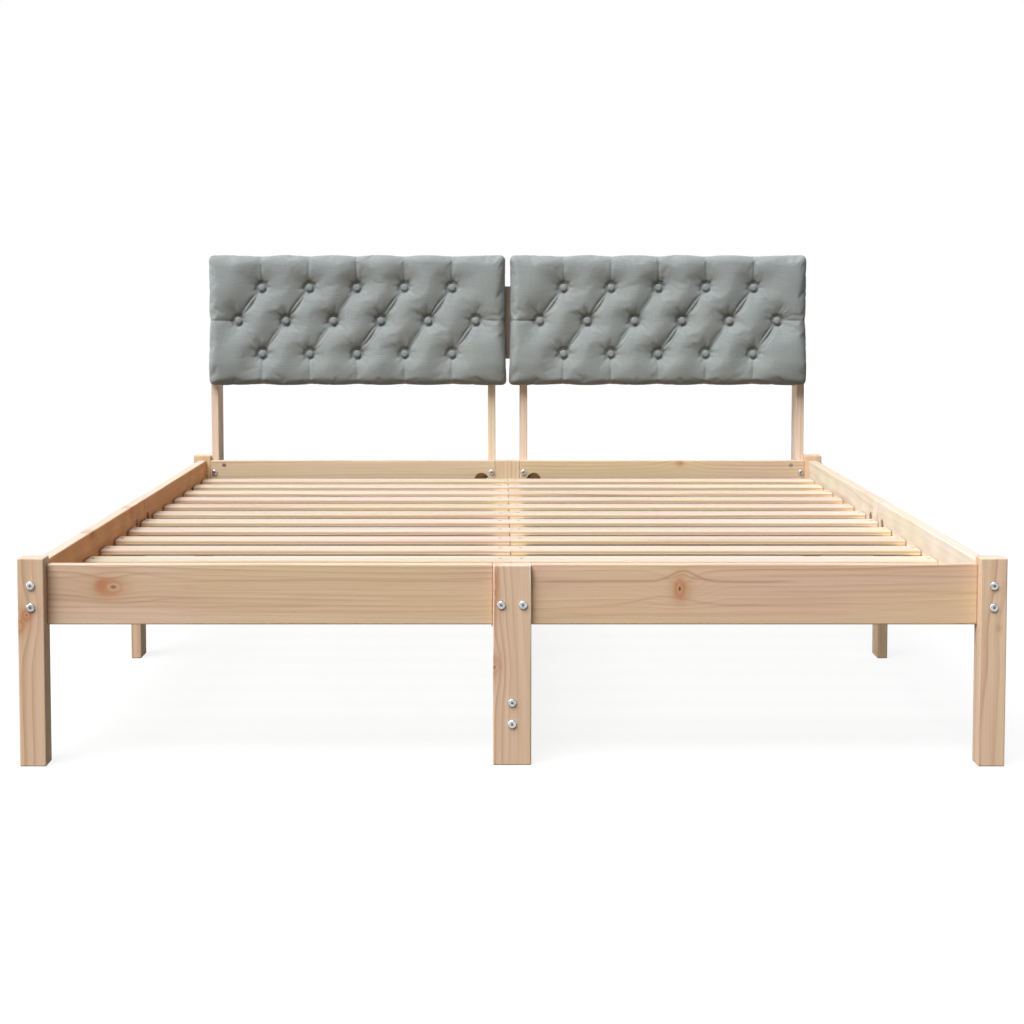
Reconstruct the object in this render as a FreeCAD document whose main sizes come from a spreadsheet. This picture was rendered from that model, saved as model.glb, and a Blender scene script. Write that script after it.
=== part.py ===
"""Double bed frame in pine with a two-part tufted headboard, in millimetres.

X runs across the bed, Y from the foot to the head, Z up. The origin lies on the
floor, under the middle of the whole bed.
"""
import FreeCAD, Part
import math
import os
import re
import Sketcher

os.makedirs("parts", exist_ok=True)
doc = FreeCAD.newDocument("bed_frame")
Vector = FreeCAD.Vector

# Driving dimensions

SIZES = (
    # The whole frame: outer width over the corner posts, clear length inside
    ("overall_width", 1668),
    ("inner_length", 2005),
    ("post_width", 45),
    ("post_height", 355),
    ("rail_underside", 239),
    ("rail_height", 103),
    ("board_thickness", 22),
    ("board_round", 2.5),
    ("center_post_width", 65),
    ("center_post_depth", 35),
    ("mid_leg_width", 65),
    # Slats, their ledgers and the supports under the middle of the bed
    ("slat_count", 13),
    ("slat_width", 70),
    ("slat_thickness", 12),
    ("slat_round", 5),
    ("slat_first_gap", 40),
    ("slat_end_gap", 3),
    ("slat_center_gap", 2),
    ("mattress_recess", 44),
    ("ledger_width", 22),
    ("ledger_height", 30),
    ("ledger_corner_gap", 20),
    ("stretcher_height", 65),
    ("stretcher_underside", 57),
    # Headboard: uprights, spacer, panels, cushions and buttons
    ("upright_thickness", 20),
    ("upright_depth", 95),
    ("upright_top_drop", 25),
    ("spacer_height", 192),
    ("spacer_top_drop", 81),
    ("cushion_width", 784),
    ("cushion_height", 342),
    ("cushion_underside", 543),
    ("cushion_depth", 62),
    ("panel_thickness", 12),
    ("panel_margin", 18),
    ("button_diameter", 22),
    ("button_height", 6),
    ("button_pitch", 125),
    ("button_row_pitch", 87),
    ("button_depth", 16),
    ("tuft_radius", 36),
    ("tuft_flare", 12),
    ("tuft_bulge", 3),
    ("pleat_width", 13),
    ("pleat_depth", 7),
    ("pleat_bulge", 1.6),
    ("edge_pleat_depth", 24),
    ("edge_roll", 26),
    ("lobe_rise", 5),
    ("waist_draw", 4),
    ("corner_radius", 14),
    # Play between pieces that meet without touching
    ("fit_gap", 0.3),
    # Connector bolts with their barrel nuts
    ("bolt_diameter", 8),
    ("bore_play", 0.4),
    ("bolt_head_diameter", 15),
    ("bolt_head_height", 4),
    ("bolt_socket_width", 5),
    ("bolt_socket_depth", 2.5),
    ("bolt_tip", 8),
    ("barrel_diameter", 10),
    ("barrel_length", 16),
    ("barrel_setback", 36),
    ("barrel_slot_width", 1.6),
    ("barrel_slot_depth", 2),
    ("corner_bolt_pitch", 37),
    ("cross_bolt_pitch", 78),
    ("center_bolt_pitch", 37),
    ("head_bolt_pitch", 41),
    ("spacer_bolt_pitch", 120),
    ("nut_width", 14),
    ("nut_height", 6),
    # Bolts in round pockets beside the center posts and mid legs, with dowels
    ("pocket_diameter", 38),
    ("pocket_depth", 19.5),
    ("pocket_setback", 37),
    ("pocket_flange_diameter", 16),
    ("pocket_flange_thickness", 1.6),
    ("pocket_bolt_grip", 25),
    ("dowel_diameter", 8),
    ("dowel_length", 30),
    ("dowel_pitch", 76),
    ("dowel_chamfer", 1),
    # Wood screws and the angle brackets behind the headboard
    ("slat_screw_diameter", 4),
    ("slat_screw_head", 7.5),
    ("slat_screw_length", 28),
    ("slat_screw_center_gap", 20),
    ("frame_screw_diameter", 5),
    ("frame_screw_head", 9.5),
    ("frame_screw_length", 40),
    ("frame_screw_edge", 7.5),
    ("frame_screw_pitch", 40),
    ("bracket_screw_length", 11),
    ("screw_slot_width", 1),
    ("screw_slot_depth", 1.2),
    ("bracket_leg", 30),
    ("bracket_width", 20),
    ("bracket_thickness", 2),
    ("bracket_hole", 18),
    ("bracket_pitch", 220),
    # How far every cutter runs past the face that it starts from
    ("cut_overrun", 1),
)

# Places worked out from the sizes, each from those above it
PLACES = (
    ("side_outer", "overall_width / 2"),
    ("side_axis", "side_outer - post_width / 2"),
    ("side_inner", "side_outer - post_width"),
    ("side_rail_outer", "side_axis + board_thickness / 2"),
    ("side_rail_inner", "side_axis - board_thickness / 2"),
    # The bolts' heads stand in front of the foot posts, the uprights reach behind the head
    ("bed_length", "bolt_head_height + post_width + inner_length + board_thickness + upright_depth"),
    ("foot_face", "bolt_head_height - bed_length / 2"),
    ("foot_inner", "foot_face + post_width"),
    ("foot_rail_front", "foot_inner - board_thickness"),
    ("foot_axis", "foot_inner - board_thickness / 2"),
    ("head_inner", "foot_inner + inner_length"),
    ("head_rail_back", "head_inner + board_thickness"),
    ("head_axis", "head_inner + board_thickness / 2"),
    ("head_post_back", "head_inner + post_width"),
    ("bed_middle", "foot_inner + inner_length / 2"),
    ("mid_leg_foot_side", "bed_middle - mid_leg_width / 2"),
    ("mid_leg_head_side", "bed_middle + mid_leg_width / 2"),
    ("rail_top", "rail_underside + rail_height"),
    ("rail_mid", "rail_underside + rail_height / 2"),
    ("center_half", "center_post_width / 2"),
    ("foot_center_face", "foot_inner - center_post_depth"),
    ("head_center_back", "head_inner + center_post_depth"),
    ("slat_top", "rail_top - mattress_recess"),
    ("slat_underside", "slat_top - slat_thickness"),
    ("slat_first", "foot_inner + slat_first_gap"),
    ("slat_pitch", "(inner_length - 2 * slat_first_gap - slat_width) / (slat_count - 1)"),
    ("slat_outer", "side_rail_inner - slat_end_gap"),
    ("slat_inner", "slat_center_gap / 2"),
    ("ledger_inner", "side_rail_inner - ledger_width"),
    ("ledger_underside", "slat_underside - ledger_height"),
    ("ledger_axis", "side_rail_inner - ledger_width / 2"),
    ("ledger_foot_end", "foot_inner + ledger_corner_gap"),
    ("ledger_head_end", "head_inner - ledger_corner_gap"),
    ("bearer_underside", "slat_underside - board_thickness"),
    ("bearer_mid", "slat_underside - board_thickness / 2"),
    ("stretcher_mid", "stretcher_underside + stretcher_height / 2"),
    ("stretcher_top", "stretcher_underside + stretcher_height"),
    ("foot_strut_middle", "foot_inner + inner_length / 4"),
    ("head_strut_middle", "head_inner - inner_length / 4"),
    ("bore_diameter", "bolt_diameter + bore_play"),
    ("pocket_chord", "sqrt(pocket_diameter ^ 2 - pocket_flange_diameter ^ 2) / 2"),
    ("pocket_seat", "pocket_setback - pocket_chord + fit_gap"),
    ("barrel_bore_depth", "board_thickness / 2 + barrel_length / 2 + fit_gap"),
    ("cushion_top", "cushion_underside + cushion_height"),
    ("cushion_middle_height", "cushion_underside + cushion_height / 2"),
    ("cushion_center", "side_inner - cushion_width / 2"),
    ("cushion_front", "head_rail_back - cushion_depth"),
    ("panel_front", "head_rail_back - panel_thickness"),
    ("upright_top", "cushion_top - upright_top_drop"),
    ("upright_axis_outer", "side_inner - upright_thickness / 2"),
    ("upright_axis_inner", "center_half + upright_thickness / 2"),
    ("upright_barrel", "head_rail_back + barrel_setback"),
    ("spacer_top", "cushion_top - spacer_top_drop"),
    ("spacer_middle_height", "spacer_top - spacer_height / 2"),
    ("spacer_axis", "head_rail_back + board_thickness / 2"),
)

SIZE_NAMES = {name for name, value in SIZES}
PLACE_NAMES = {name for name, value in PLACES}


def full(text):
    """Write an expression of plain names as one that names the sheets."""
    def sheet_name(match):
        word = match.group()
        if word in SIZE_NAMES:
            return "Sizes." + word
        return "Places." + word if word in PLACE_NAMES else word
    return re.sub(r"[a-z_]+", sheet_name, text)


def fill_sheet(name, rows):
    """Make a sheet with one named row for each value or formula."""
    sheet = doc.addObject("Spreadsheet::Sheet", name)
    for row, (alias, content) in enumerate(rows, 1):
        sheet.set(f"A{row}", alias)
        sheet.set(f"B{row}", content)
        sheet.setAlias(f"B{row}", alias)
    doc.recompute()
    return sheet


sizes = fill_sheet("Sizes", [(name, str(value)) for name, value in SIZES])
places = fill_sheet("Places", [(name, "=" + full(text)) for name, text in PLACES])


def size(name):
    """Read one value from the sheets."""
    return float((sizes if name in SIZE_NAMES else places).get(name))


# Building blocks

nodes = []
bodies = {}
corners = {}
NEARLY_PARALLEL = math.cos(math.radians(1))
DIRECTIONS = {
    "+X": Vector(1, 0, 0), "-X": Vector(-1, 0, 0),
    "+Y": Vector(0, 1, 0), "-Y": Vector(0, -1, 0),
    "+Z": Vector(0, 0, 1), "-Z": Vector(0, 0, -1),
}


def bind(item, **texts):
    """Bind properties of an object to expressions; an underscore pair is a dot."""
    for prop, text in texts.items():
        item.setExpression(prop.replace("__", "."), full(text))


def put(item, place, direction="+Z", spin=0):
    """Place an object at three expressions, its own Z along a direction, turned about it."""
    turn = FreeCAD.Rotation(DIRECTIONS["+Z"], DIRECTIONS[direction])
    turn = turn.multiply(FreeCAD.Rotation(DIRECTIONS["+Z"], spin))
    item.Placement = FreeCAD.Placement(Vector(), turn)
    x, y, z = place
    bind(item, Placement__Base__x=x, Placement__Base__y=y, Placement__Base__z=z)


def plane(body, role):
    """Return one of a body's own origin planes or axes."""
    return next(item for item in body.Origin.OriginFeatures if item.Role == role)


def sketch_on(body, role, name):
    """Add a sketch on one of a body's own origin planes."""
    sketch = body.newObject("Sketcher::SketchObject", name)
    sketch.AttachmentSupport = (plane(body, role), [""])
    sketch.MapMode = "FlatFace"
    return sketch


def rectangle(sketch, width, depth):
    """Draw a rectangle from the sketch's origin, sized by two expressions."""
    spots = (Vector(0, 0, 0), Vector(1, 0, 0), Vector(1, 1, 0), Vector(0, 1, 0))
    for index, spot in enumerate(spots):
        sketch.addGeometry(Part.LineSegment(spot, spots[(index + 1) % 4]), False)
    for index in range(4):
        sketch.addConstraint(Sketcher.Constraint("Coincident", index, 2, (index + 1) % 4, 1))
    for index, kind in enumerate(("Horizontal", "Vertical", "Horizontal", "Vertical")):
        sketch.addConstraint(Sketcher.Constraint(kind, index))
    sketch.addConstraint(Sketcher.Constraint("Coincident", 0, 1, -1, 1))
    wide = sketch.addConstraint(Sketcher.Constraint("DistanceX", 0, 1, 0, 2, 1))
    deep = sketch.addConstraint(Sketcher.Constraint("DistanceY", 1, 1, 1, 2, 1))
    sketch.setExpression(f"Constraints[{wide}]", full(width))
    sketch.setExpression(f"Constraints[{deep}]", full(depth))


def board(name, corner, extent, rounding="board_round", along=None, is_node=True):
    """Make a board from its lowest corner and its extents, with rounded edges.

    Without a direction all its edges are rounded, and with one only the edges
    that run that way.
    """
    body = doc.addObject("PartDesign::Body", name)
    body.Label = name
    put(body, corner)
    corners[name] = corner
    sketch = sketch_on(body, "XY_Plane", name + "_outline")
    rectangle(sketch, extent[0], extent[1])
    pad = body.newObject("PartDesign::Pad", name + "_pad")
    pad.Profile = sketch
    bind(pad, Length=extent[2])
    fillet = body.newObject("PartDesign::Fillet", name + "_edges")
    if along:
        doc.recompute()
        fillet.Base = (pad, edges_along(pad.Shape, DIRECTIONS[along]))
    else:
        fillet.Base = (pad, [])
        fillet.UseAllEdges = True
    bind(fillet, Radius=rounding)
    bodies[name] = body
    if is_node:
        nodes.append(body)
    return body


def edges_along(shape, direction):
    """Name the straight edges of a shape that run one way."""
    return [
        f"Edge{index}" for index, edge in enumerate(shape.Edges, 1)
        if abs(edge.tangentAt(edge.FirstParameter).dot(direction)) > NEARLY_PARALLEL
    ]


def start_of(body, place, direction, lead):
    """Give a point in a body's own frame, moved back along a direction."""
    own = []
    for text, corner, part in zip(place, corners[body.Name], DIRECTIONS[direction]):
        own.append(f"({text}) - ({corner}) - ({lead}) * ({part:.0f})")
    return own


def bore(body, place, direction, diameter, depth):
    """Drill a body from a point on its face, one way, to a depth."""
    drill = body.newObject("PartDesign::SubtractiveCylinder", body.Name + "_bore")
    bind(drill, Radius=f"({diameter}) / 2", Height=f"{depth} + cut_overrun")
    put(drill, start_of(body, place, direction, "cut_overrun"), direction)
    return drill


def countersink(body, place, direction, head, shank):
    """Sink a cone for a screw's head into a face."""
    cone = body.newObject("PartDesign::SubtractiveCone", body.Name + "_sink")
    bind(
        cone, Radius1=f"{head} / 2 + bore_play / 2", Radius2=f"{shank} / 2 + bore_play / 2",
        Height=f"({head} - {shank}) / 2",
    )
    put(cone, start_of(body, place, direction, "0"), direction)


def copies(name, master, spots):
    """Link a master piece to each spot: a place, a direction and perhaps a turn."""
    links = []
    for spot in spots:
        link = doc.addObject("App::Link", name + "_copy")
        link.LinkedObject = master
        put(link, *spot)
        links.append(link)
    return links


def group(name, links):
    """Make one node of separate solids from linked copies."""
    cluster = doc.addObject("Part::Compound", name)
    cluster.Label = name
    cluster.Links = links
    nodes.append(cluster)


def nearest(sign, near, far):
    """Give the lowest X of a piece that lies between two distances on one side."""
    return near if sign > 0 else f"-({far})"


SIDES = (("left", -1), ("right", 1))
OUTWARD = {-1: "-X", 1: "+X"}
INWARD = {-1: "+X", 1: "-X"}
THROUGH_POST = "post_width + cut_overrun"
THROUGH_BOARD = "board_thickness + cut_overrun"
THROUGH_LEDGER = "ledger_width + cut_overrun"
CROSS_HEIGHTS = [f"rail_mid + {way} * cross_bolt_pitch / 2" for way in (1, -1)]
CORNER_HEIGHTS = [f"rail_mid + {way} * corner_bolt_pitch / 2" for way in (1, -1)]
HEAD_BOLT_HEIGHTS = [f"rail_mid + {way} * head_bolt_pitch / 2" for way in (1, -1)]
STRETCHER_HEIGHTS = [f"stretcher_mid + {way} * center_bolt_pitch / 2" for way in (1, -1)]
SPACER_HEIGHTS = [f"spacer_middle_height + {way} * spacer_bolt_pitch / 2" for way in (1, -1)]
DOWEL_HEIGHTS = [f"rail_mid + {way} * dowel_pitch / 2" for way in (1, -1)]
DOWEL_BORE = "(dowel_diameter + bore_play)"
DOWEL_HOLE = "dowel_length / 2 + fit_gap"
POCKET_BOLT_HOLE = "pocket_bolt_grip + fit_gap"
BARREL_BORE = "(barrel_diameter + bore_play)"
BOLT_HOLE = "barrel_setback + bolt_tip + fit_gap"
QUARTER_TURN = 90
HALF_TURN = 180
HEXAGON = 6

corner_bolts = []
center_bolts = []
head_bolts = []
spacer_bolts = []
leg_bolts = []
pocket_bolts = []
barrels = []
dowels = []
slat_screws = []
frame_screws = []
bracket_screws = []
brackets = []

# Corner posts, with two bores from the end face and two from the side

for side, sign in SIDES:
    for end, low, face, inward, axis in (
        ("front", "foot_face", "foot_face", "+Y", "foot_axis"),
        ("rear", "head_inner", "head_post_back", "-Y", "head_axis"),
    ):
        post = board(
            f"{end}_post_{side}", (nearest(sign, "side_inner", "side_outer"), low, "0"),
            ("post_width", "post_width", "post_height"),
        )
        for height in CORNER_HEIGHTS:
            spot = (f"{sign} * side_axis", face, height)
            bore(post, spot, inward, "bore_diameter", THROUGH_POST)
            corner_bolts.append((spot, inward))
        for height in CROSS_HEIGHTS:
            spot = (f"{sign} * side_outer", axis, height)
            bore(post, spot, INWARD[sign], "bore_diameter", THROUGH_POST)
            corner_bolts.append((spot, INWARD[sign]))

# Center posts at the foot and the head

for end, low, face, inward, axis in (
    ("front", "foot_center_face", "foot_center_face", "+Y", "foot_axis"),
    ("rear", "head_inner", "head_center_back", "-Y", "head_axis"),
):
    post = board(
        f"{end}_center_post", ("-center_half", low, "0"),
        ("center_post_width", "center_post_depth", "rail_top"),
    )
    bolt_places = [(f"{sign} * center_bolt_pitch / 2", "bearer_mid") for side, sign in SIDES]
    bolt_places += [("0", height) for height in STRETCHER_HEIGHTS]
    for x, z in bolt_places:
        bore(post, (x, face, z), inward, "bore_diameter", "center_post_depth + cut_overrun")
        center_bolts.append(((x, face, z), inward))
    for side, sign in SIDES:
        flank = f"{sign} * center_half"
        pocket_wall = f"{sign} * (center_half + pocket_seat)"
        bore(post, (flank, axis, "rail_mid"), INWARD[sign], "bore_diameter", POCKET_BOLT_HOLE)
        pocket_bolts.append(((pocket_wall, axis, "rail_mid"), INWARD[sign]))
        for height in DOWEL_HEIGHTS:
            bore(post, (flank, axis, height), INWARD[sign], DOWEL_BORE, DOWEL_HOLE)
            dowels.append(((f"{sign} * (center_half + dowel_length / 2)", axis, height), INWARD[sign]))

# Mid legs, in the plane of the side rails

for side, sign in SIDES:
    leg = board(
        f"side_mid_leg_{side}",
        (nearest(sign, "side_rail_inner", "side_rail_outer"), "mid_leg_foot_side", "0"),
        ("board_thickness", "mid_leg_width", "rail_top"),
    )
    plane_x = f"{sign} * side_axis"
    for edge, inward, way in (("mid_leg_foot_side", "+Y", -1), ("mid_leg_head_side", "-Y", 1)):
        pocket_wall = f"{edge} + {way} * pocket_seat"
        bore(leg, (plane_x, edge, "rail_mid"), inward, "bore_diameter", POCKET_BOLT_HOLE)
        pocket_bolts.append(((plane_x, pocket_wall, "rail_mid"), inward))
        for height in DOWEL_HEIGHTS:
            bore(leg, (plane_x, edge, height), inward, DOWEL_BORE, DOWEL_HOLE)
            dowels.append(((plane_x, f"{edge} + {way} * dowel_length / 2", height), inward))


def inner_end_bores(rail, end_at, into, pocket, pocket_way):
    """Cut the round pocket, its bolt's bore and the dowel holes at a rail's inner end."""
    bore(rail, pocket, pocket_way, "pocket_diameter", "pocket_depth")
    bore(rail, end_at("rail_mid"), into, "bore_diameter", "pocket_setback")
    for height in DOWEL_HEIGHTS:
        bore(rail, end_at(height), into, DOWEL_BORE, DOWEL_HOLE)


def bolt_and_barrel(piece, end, into, face, axis, barrel_way, spin=0, depth="barrel_bore_depth"):
    """Bore a piece's end for a bolt, and its face for the barrel nut that takes it."""
    bore(piece, end, into, "bore_diameter", BOLT_HOLE)
    bore(piece, face, barrel_way, BARREL_BORE, depth)
    barrels.append((axis, barrel_way, spin))


# Foot and head rails, in two halves on either side of the center post

for end, low, inner_face, face_way, axis in (
    ("front", "foot_rail_front", "foot_inner", "-Y", "foot_axis"),
    ("rear", "head_inner", "head_inner", "+Y", "head_axis"),
):
    for side, sign in SIDES:
        rail = board(
            f"{end}_rail_{side}",
            (nearest(sign, "center_half", "side_inner"), low, "rail_underside"),
            ("side_inner - center_half", "board_thickness", "rail_height"),
        )
        inner_end_bores(
            rail, lambda height: (f"{sign} * center_half", axis, height), OUTWARD[sign],
            (f"{sign} * (center_half + pocket_setback)", inner_face, "rail_mid"), face_way,
        )
        barrel_x = f"{sign} * (side_inner - barrel_setback)"
        for height in CROSS_HEIGHTS:
            bolt_and_barrel(
                rail, (f"{sign} * side_inner", axis, height), INWARD[sign],
                (barrel_x, inner_face, height), (barrel_x, axis, height), face_way, QUARTER_TURN,
            )

# Side rails, in two halves on either side of the mid leg

for side, sign in SIDES:
    for end, low, outer_end, inner_end, inward, way in (
        ("front", "foot_inner", "foot_inner", "mid_leg_foot_side", "+Y", -1),
        ("rear", "mid_leg_head_side", "head_inner", "mid_leg_head_side", "-Y", 1),
    ):
        rail = board(
            f"side_rail_{side}_{end}",
            (nearest(sign, "side_rail_inner", "side_rail_outer"), low, "rail_underside"),
            ("board_thickness", "(inner_length - mid_leg_width) / 2", "rail_height"),
        )
        plane_x = f"{sign} * side_axis"
        face_x = f"{sign} * side_rail_inner"
        outward = {"+Y": "-Y", "-Y": "+Y"}[inward]
        inner_end_bores(
            rail, lambda height: (plane_x, inner_end, height), outward,
            (face_x, f"{inner_end} + {way} * pocket_setback", "rail_mid"), OUTWARD[sign],
        )
        barrel_y = f"{outer_end} - {way} * barrel_setback"
        for height in CORNER_HEIGHTS:
            bolt_and_barrel(
                rail, (plane_x, outer_end, height), inward,
                (face_x, barrel_y, height), (plane_x, barrel_y, height), OUTWARD[sign],
            )

# Slats: one master half, screwed down at both ends, and rows of two halves

SLAT_MIDDLE = "slat_first + slat_width / 2"
slat = board(
    "slat_master", ("0", "0", "0"), ("slat_outer - slat_inner", "slat_width", "slat_thickness"),
    "slat_round", "+X", is_node=False,
)
for x in ("slat_screw_center_gap", "ledger_axis"):
    top = (f"{x} - slat_inner", "slat_width / 2", "slat_thickness")
    bore(slat, top, "-Z", "slat_screw_diameter + bore_play", "slat_thickness + cut_overrun")
    countersink(slat, top, "-Z", "slat_screw_head", "slat_screw_diameter")

row_count = int(size("slat_count"))
row_middles = [f"({SLAT_MIDDLE} + {row} * slat_pitch)" for row in range(row_count)]
for row, middle in enumerate(row_middles, 1):
    group(f"slat_row_{row:02d}", copies("slat", slat, (
        (("slat_inner", f"{middle} - slat_width / 2", "slat_underside"), "+Z", 0),
        (("-slat_inner", f"{middle} + slat_width / 2", "slat_underside"), "+Z", HALF_TURN),
    )))
    for side, sign in SIDES:
        for x in ("slat_screw_center_gap", "ledger_axis"):
            slat_screws.append(((f"{sign} * {x}", middle, "slat_top"), "-Z"))


def slat_pilot(piece, x, middle):
    """Drill the hole that takes a slat's screw below the slat."""
    bore(piece, (x, middle, "slat_underside"), "-Z", "slat_screw_diameter + bore_play",
         "slat_screw_length - slat_thickness + fit_gap")


def frame_screw(outer, under, place, direction, thickness="board_thickness"):
    """Screw one piece to the piece behind it, countersunk, and record the screw."""
    bore(outer, place, direction, "frame_screw_diameter + bore_play", f"{thickness} + cut_overrun")
    countersink(outer, place, direction, "frame_screw_head", "frame_screw_diameter")
    bore(under, place, direction, "frame_screw_diameter + bore_play", "frame_screw_length + fit_gap")
    frame_screws.append((place, direction))


# Ledgers under the slat ends: the front pair runs on over the mid legs

LEDGER_SCREW_SHARES = {"front": (0.12, 0.5, 0.84), "rear": (0.12, 0.5, 0.88)}
for side, sign in SIDES:
    for end, low, high, pocket in (
        ("front", "ledger_foot_end", "mid_leg_head_side", "mid_leg_foot_side - pocket_setback"),
        ("rear", "mid_leg_head_side", "ledger_head_end", "mid_leg_head_side + pocket_setback"),
    ):
        ledger = board(
            f"slat_ledger_{side}_{end}",
            (nearest(sign, "ledger_inner", "side_rail_inner"), low, "ledger_underside"),
            ("ledger_width", f"({high}) - ({low})", "ledger_height"),
        )
        face_x = f"{sign} * ledger_inner"
        bore(ledger, (face_x, pocket, "rail_mid"), OUTWARD[sign], "pocket_diameter", THROUGH_LEDGER)
        rows = [row for row in range(row_count) if (row < row_count // 2 + 1) == (end == "front")]
        for row in rows:
            slat_pilot(ledger, f"{sign} * ledger_axis", row_middles[row])
        height = "ledger_underside + frame_screw_edge"
        for share in LEDGER_SCREW_SHARES[end]:
            frame_screw(ledger, bodies[f"side_rail_{side}_{end}"],
                        (face_x, f"({low}) + (({high}) - ({low})) * {share}", height),
                        OUTWARD[sign], "ledger_width")
        if end == "front":
            frame_screw(ledger, bodies[f"side_mid_leg_{side}"], (face_x, "bed_middle", height),
                        OUTWARD[sign], "ledger_width")

# Center bearer, stretcher, leg and struts

bearer = board(
    "center_bearer", ("-center_half", "foot_inner", "bearer_underside"),
    ("center_post_width", "inner_length", "board_thickness"),
)
stretcher = board(
    "center_stretcher", ("-board_thickness / 2", "foot_inner", "stretcher_underside"),
    ("board_thickness", "inner_length", "stretcher_height"),
)
for end, into, barrel_y in (
    ("foot_inner", "+Y", "foot_inner + barrel_setback"),
    ("head_inner", "-Y", "head_inner - barrel_setback"),
):
    for side, sign in SIDES:
        x = f"{sign} * center_bolt_pitch / 2"
        bolt_and_barrel(bearer, (x, end, "bearer_mid"), into, (x, barrel_y, "bearer_underside"),
                        (x, barrel_y, "bearer_mid"), "+Z")
    for height in STRETCHER_HEIGHTS:
        bolt_and_barrel(stretcher, ("0", end, height), into, ("board_thickness / 2", barrel_y, height),
                        ("0", barrel_y, height), "-X")
for middle in row_middles:
    for side, sign in SIDES:
        slat_pilot(bearer, f"{sign} * slat_screw_center_gap", middle)

for side, sign in SIDES:
    cheek = board(
        f"center_leg_cheek_{side}",
        (nearest(sign, "board_thickness / 2", "board_thickness * 3 / 2"), "mid_leg_foot_side", "0"),
        ("board_thickness", "mid_leg_width", "bearer_underside"),
    )
    for height in STRETCHER_HEIGHTS:
        bore(cheek, (f"{sign} * board_thickness * 3 / 2", "bed_middle", height), INWARD[sign],
             "bore_diameter", THROUGH_BOARD)
    for way in (-1, 1):
        frame_screw(bearer, cheek, (f"{sign} * board_thickness",
                                    f"bed_middle + {way} * frame_screw_pitch / 2", "slat_underside"), "-Z")
for height in STRETCHER_HEIGHTS:
    bore(stretcher, ("board_thickness / 2", "bed_middle", height), "-X", "bore_diameter", THROUGH_BOARD)
    leg_bolts.append((("board_thickness * 3 / 2", "bed_middle", height), "-X"))

for end in ("foot", "head"):
    middle = f"{end}_strut_middle"
    strut = board(
        f"center_strut_{end}", ("-board_thickness / 2", f"{middle} - mid_leg_width / 2", "stretcher_top"),
        ("board_thickness", "mid_leg_width", "bearer_underside - stretcher_top"),
    )
    for way in (-1, 1):
        y = f"{middle} + {way} * frame_screw_pitch / 2"
        frame_screw(bearer, strut, ("0", y, "slat_underside"), "-Z")
        bore(strut, ("0", y, "stretcher_top"), "+Z", DOWEL_BORE, DOWEL_HOLE)
        bore(stretcher, ("0", y, "stretcher_top"), "-Z", DOWEL_BORE, DOWEL_HOLE)
        dowels.append((("0", y, "stretcher_top - dowel_length / 2"), "+Z"))

# Headboard uprights, bolted through the head rails

BRACKET_HOLE = "slat_screw_diameter + bore_play"
BRACKET_HOLE_DEPTH = "bracket_screw_length - bracket_thickness + fit_gap"
for side, sign in SIDES:
    for which, near, open_face, open_way in (
        ("inner", "center_half", "center_half + upright_thickness", INWARD[sign]),
        ("outer", "side_inner - upright_thickness", "side_inner - upright_thickness", OUTWARD[sign]),
    ):
        upright = board(
            f"headboard_upright_{side}_{which}",
            (nearest(sign, near, f"{near} + upright_thickness"), "head_rail_back", "rail_underside"),
            ("upright_thickness", "upright_depth", "upright_top - rail_underside"),
        )
        axis_x = f"{sign} * upright_axis_{which}"
        face_x = f"{sign} * ({open_face})"
        rail = bodies[f"rear_rail_{side}"]
        for height in HEAD_BOLT_HEIGHTS:
            bore(rail, (axis_x, "head_inner", height), "+Y", "bore_diameter", THROUGH_BOARD)
            bolt_and_barrel(
                upright, (axis_x, "head_rail_back", height), "+Y", (face_x, "upright_barrel", height),
                (axis_x, "upright_barrel", height), open_way, 0,
                "upright_thickness / 2 + barrel_length / 2 + fit_gap",
            )
            head_bolts.append(((axis_x, "head_inner", height), "+Y"))
        if which == "inner":
            for height in SPACER_HEIGHTS:
                bore(upright, (face_x, "spacer_axis", height), open_way, "bore_diameter",
                     "upright_thickness + cut_overrun")

spacer = board(
    "headboard_spacer", ("-center_half", "head_rail_back", "spacer_top - spacer_height"),
    ("center_post_width", "board_thickness", "spacer_height"),
)
for height in SPACER_HEIGHTS:
    bore(spacer, ("center_half", "spacer_axis", height), "-X", "bore_diameter",
         "center_post_width + cut_overrun")
    spacer_bolts.append((("center_half + upright_thickness", "spacer_axis", height), "-X"))

# Headboard panels and the angle brackets that hold them to the uprights

bracket = doc.addObject("PartDesign::Body", "bracket_master")
corners["bracket_master"] = ("0", "0", "0")
for name, length, width in (("along_panel", "bracket_leg", "bracket_thickness"),
                            ("along_upright", "bracket_thickness", "bracket_leg")):
    leaf = bracket.newObject("PartDesign::AdditiveBox", "bracket_" + name)
    bind(leaf, Length=length, Width=width, Height="bracket_width")
for place, direction in (
    (("bracket_hole", "0", "bracket_width / 2"), "+Y"),
    (("0", "bracket_hole", "bracket_width / 2"), "+X"),
):
    bore(bracket, place, direction, BRACKET_HOLE, "bracket_thickness + cut_overrun")

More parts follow.
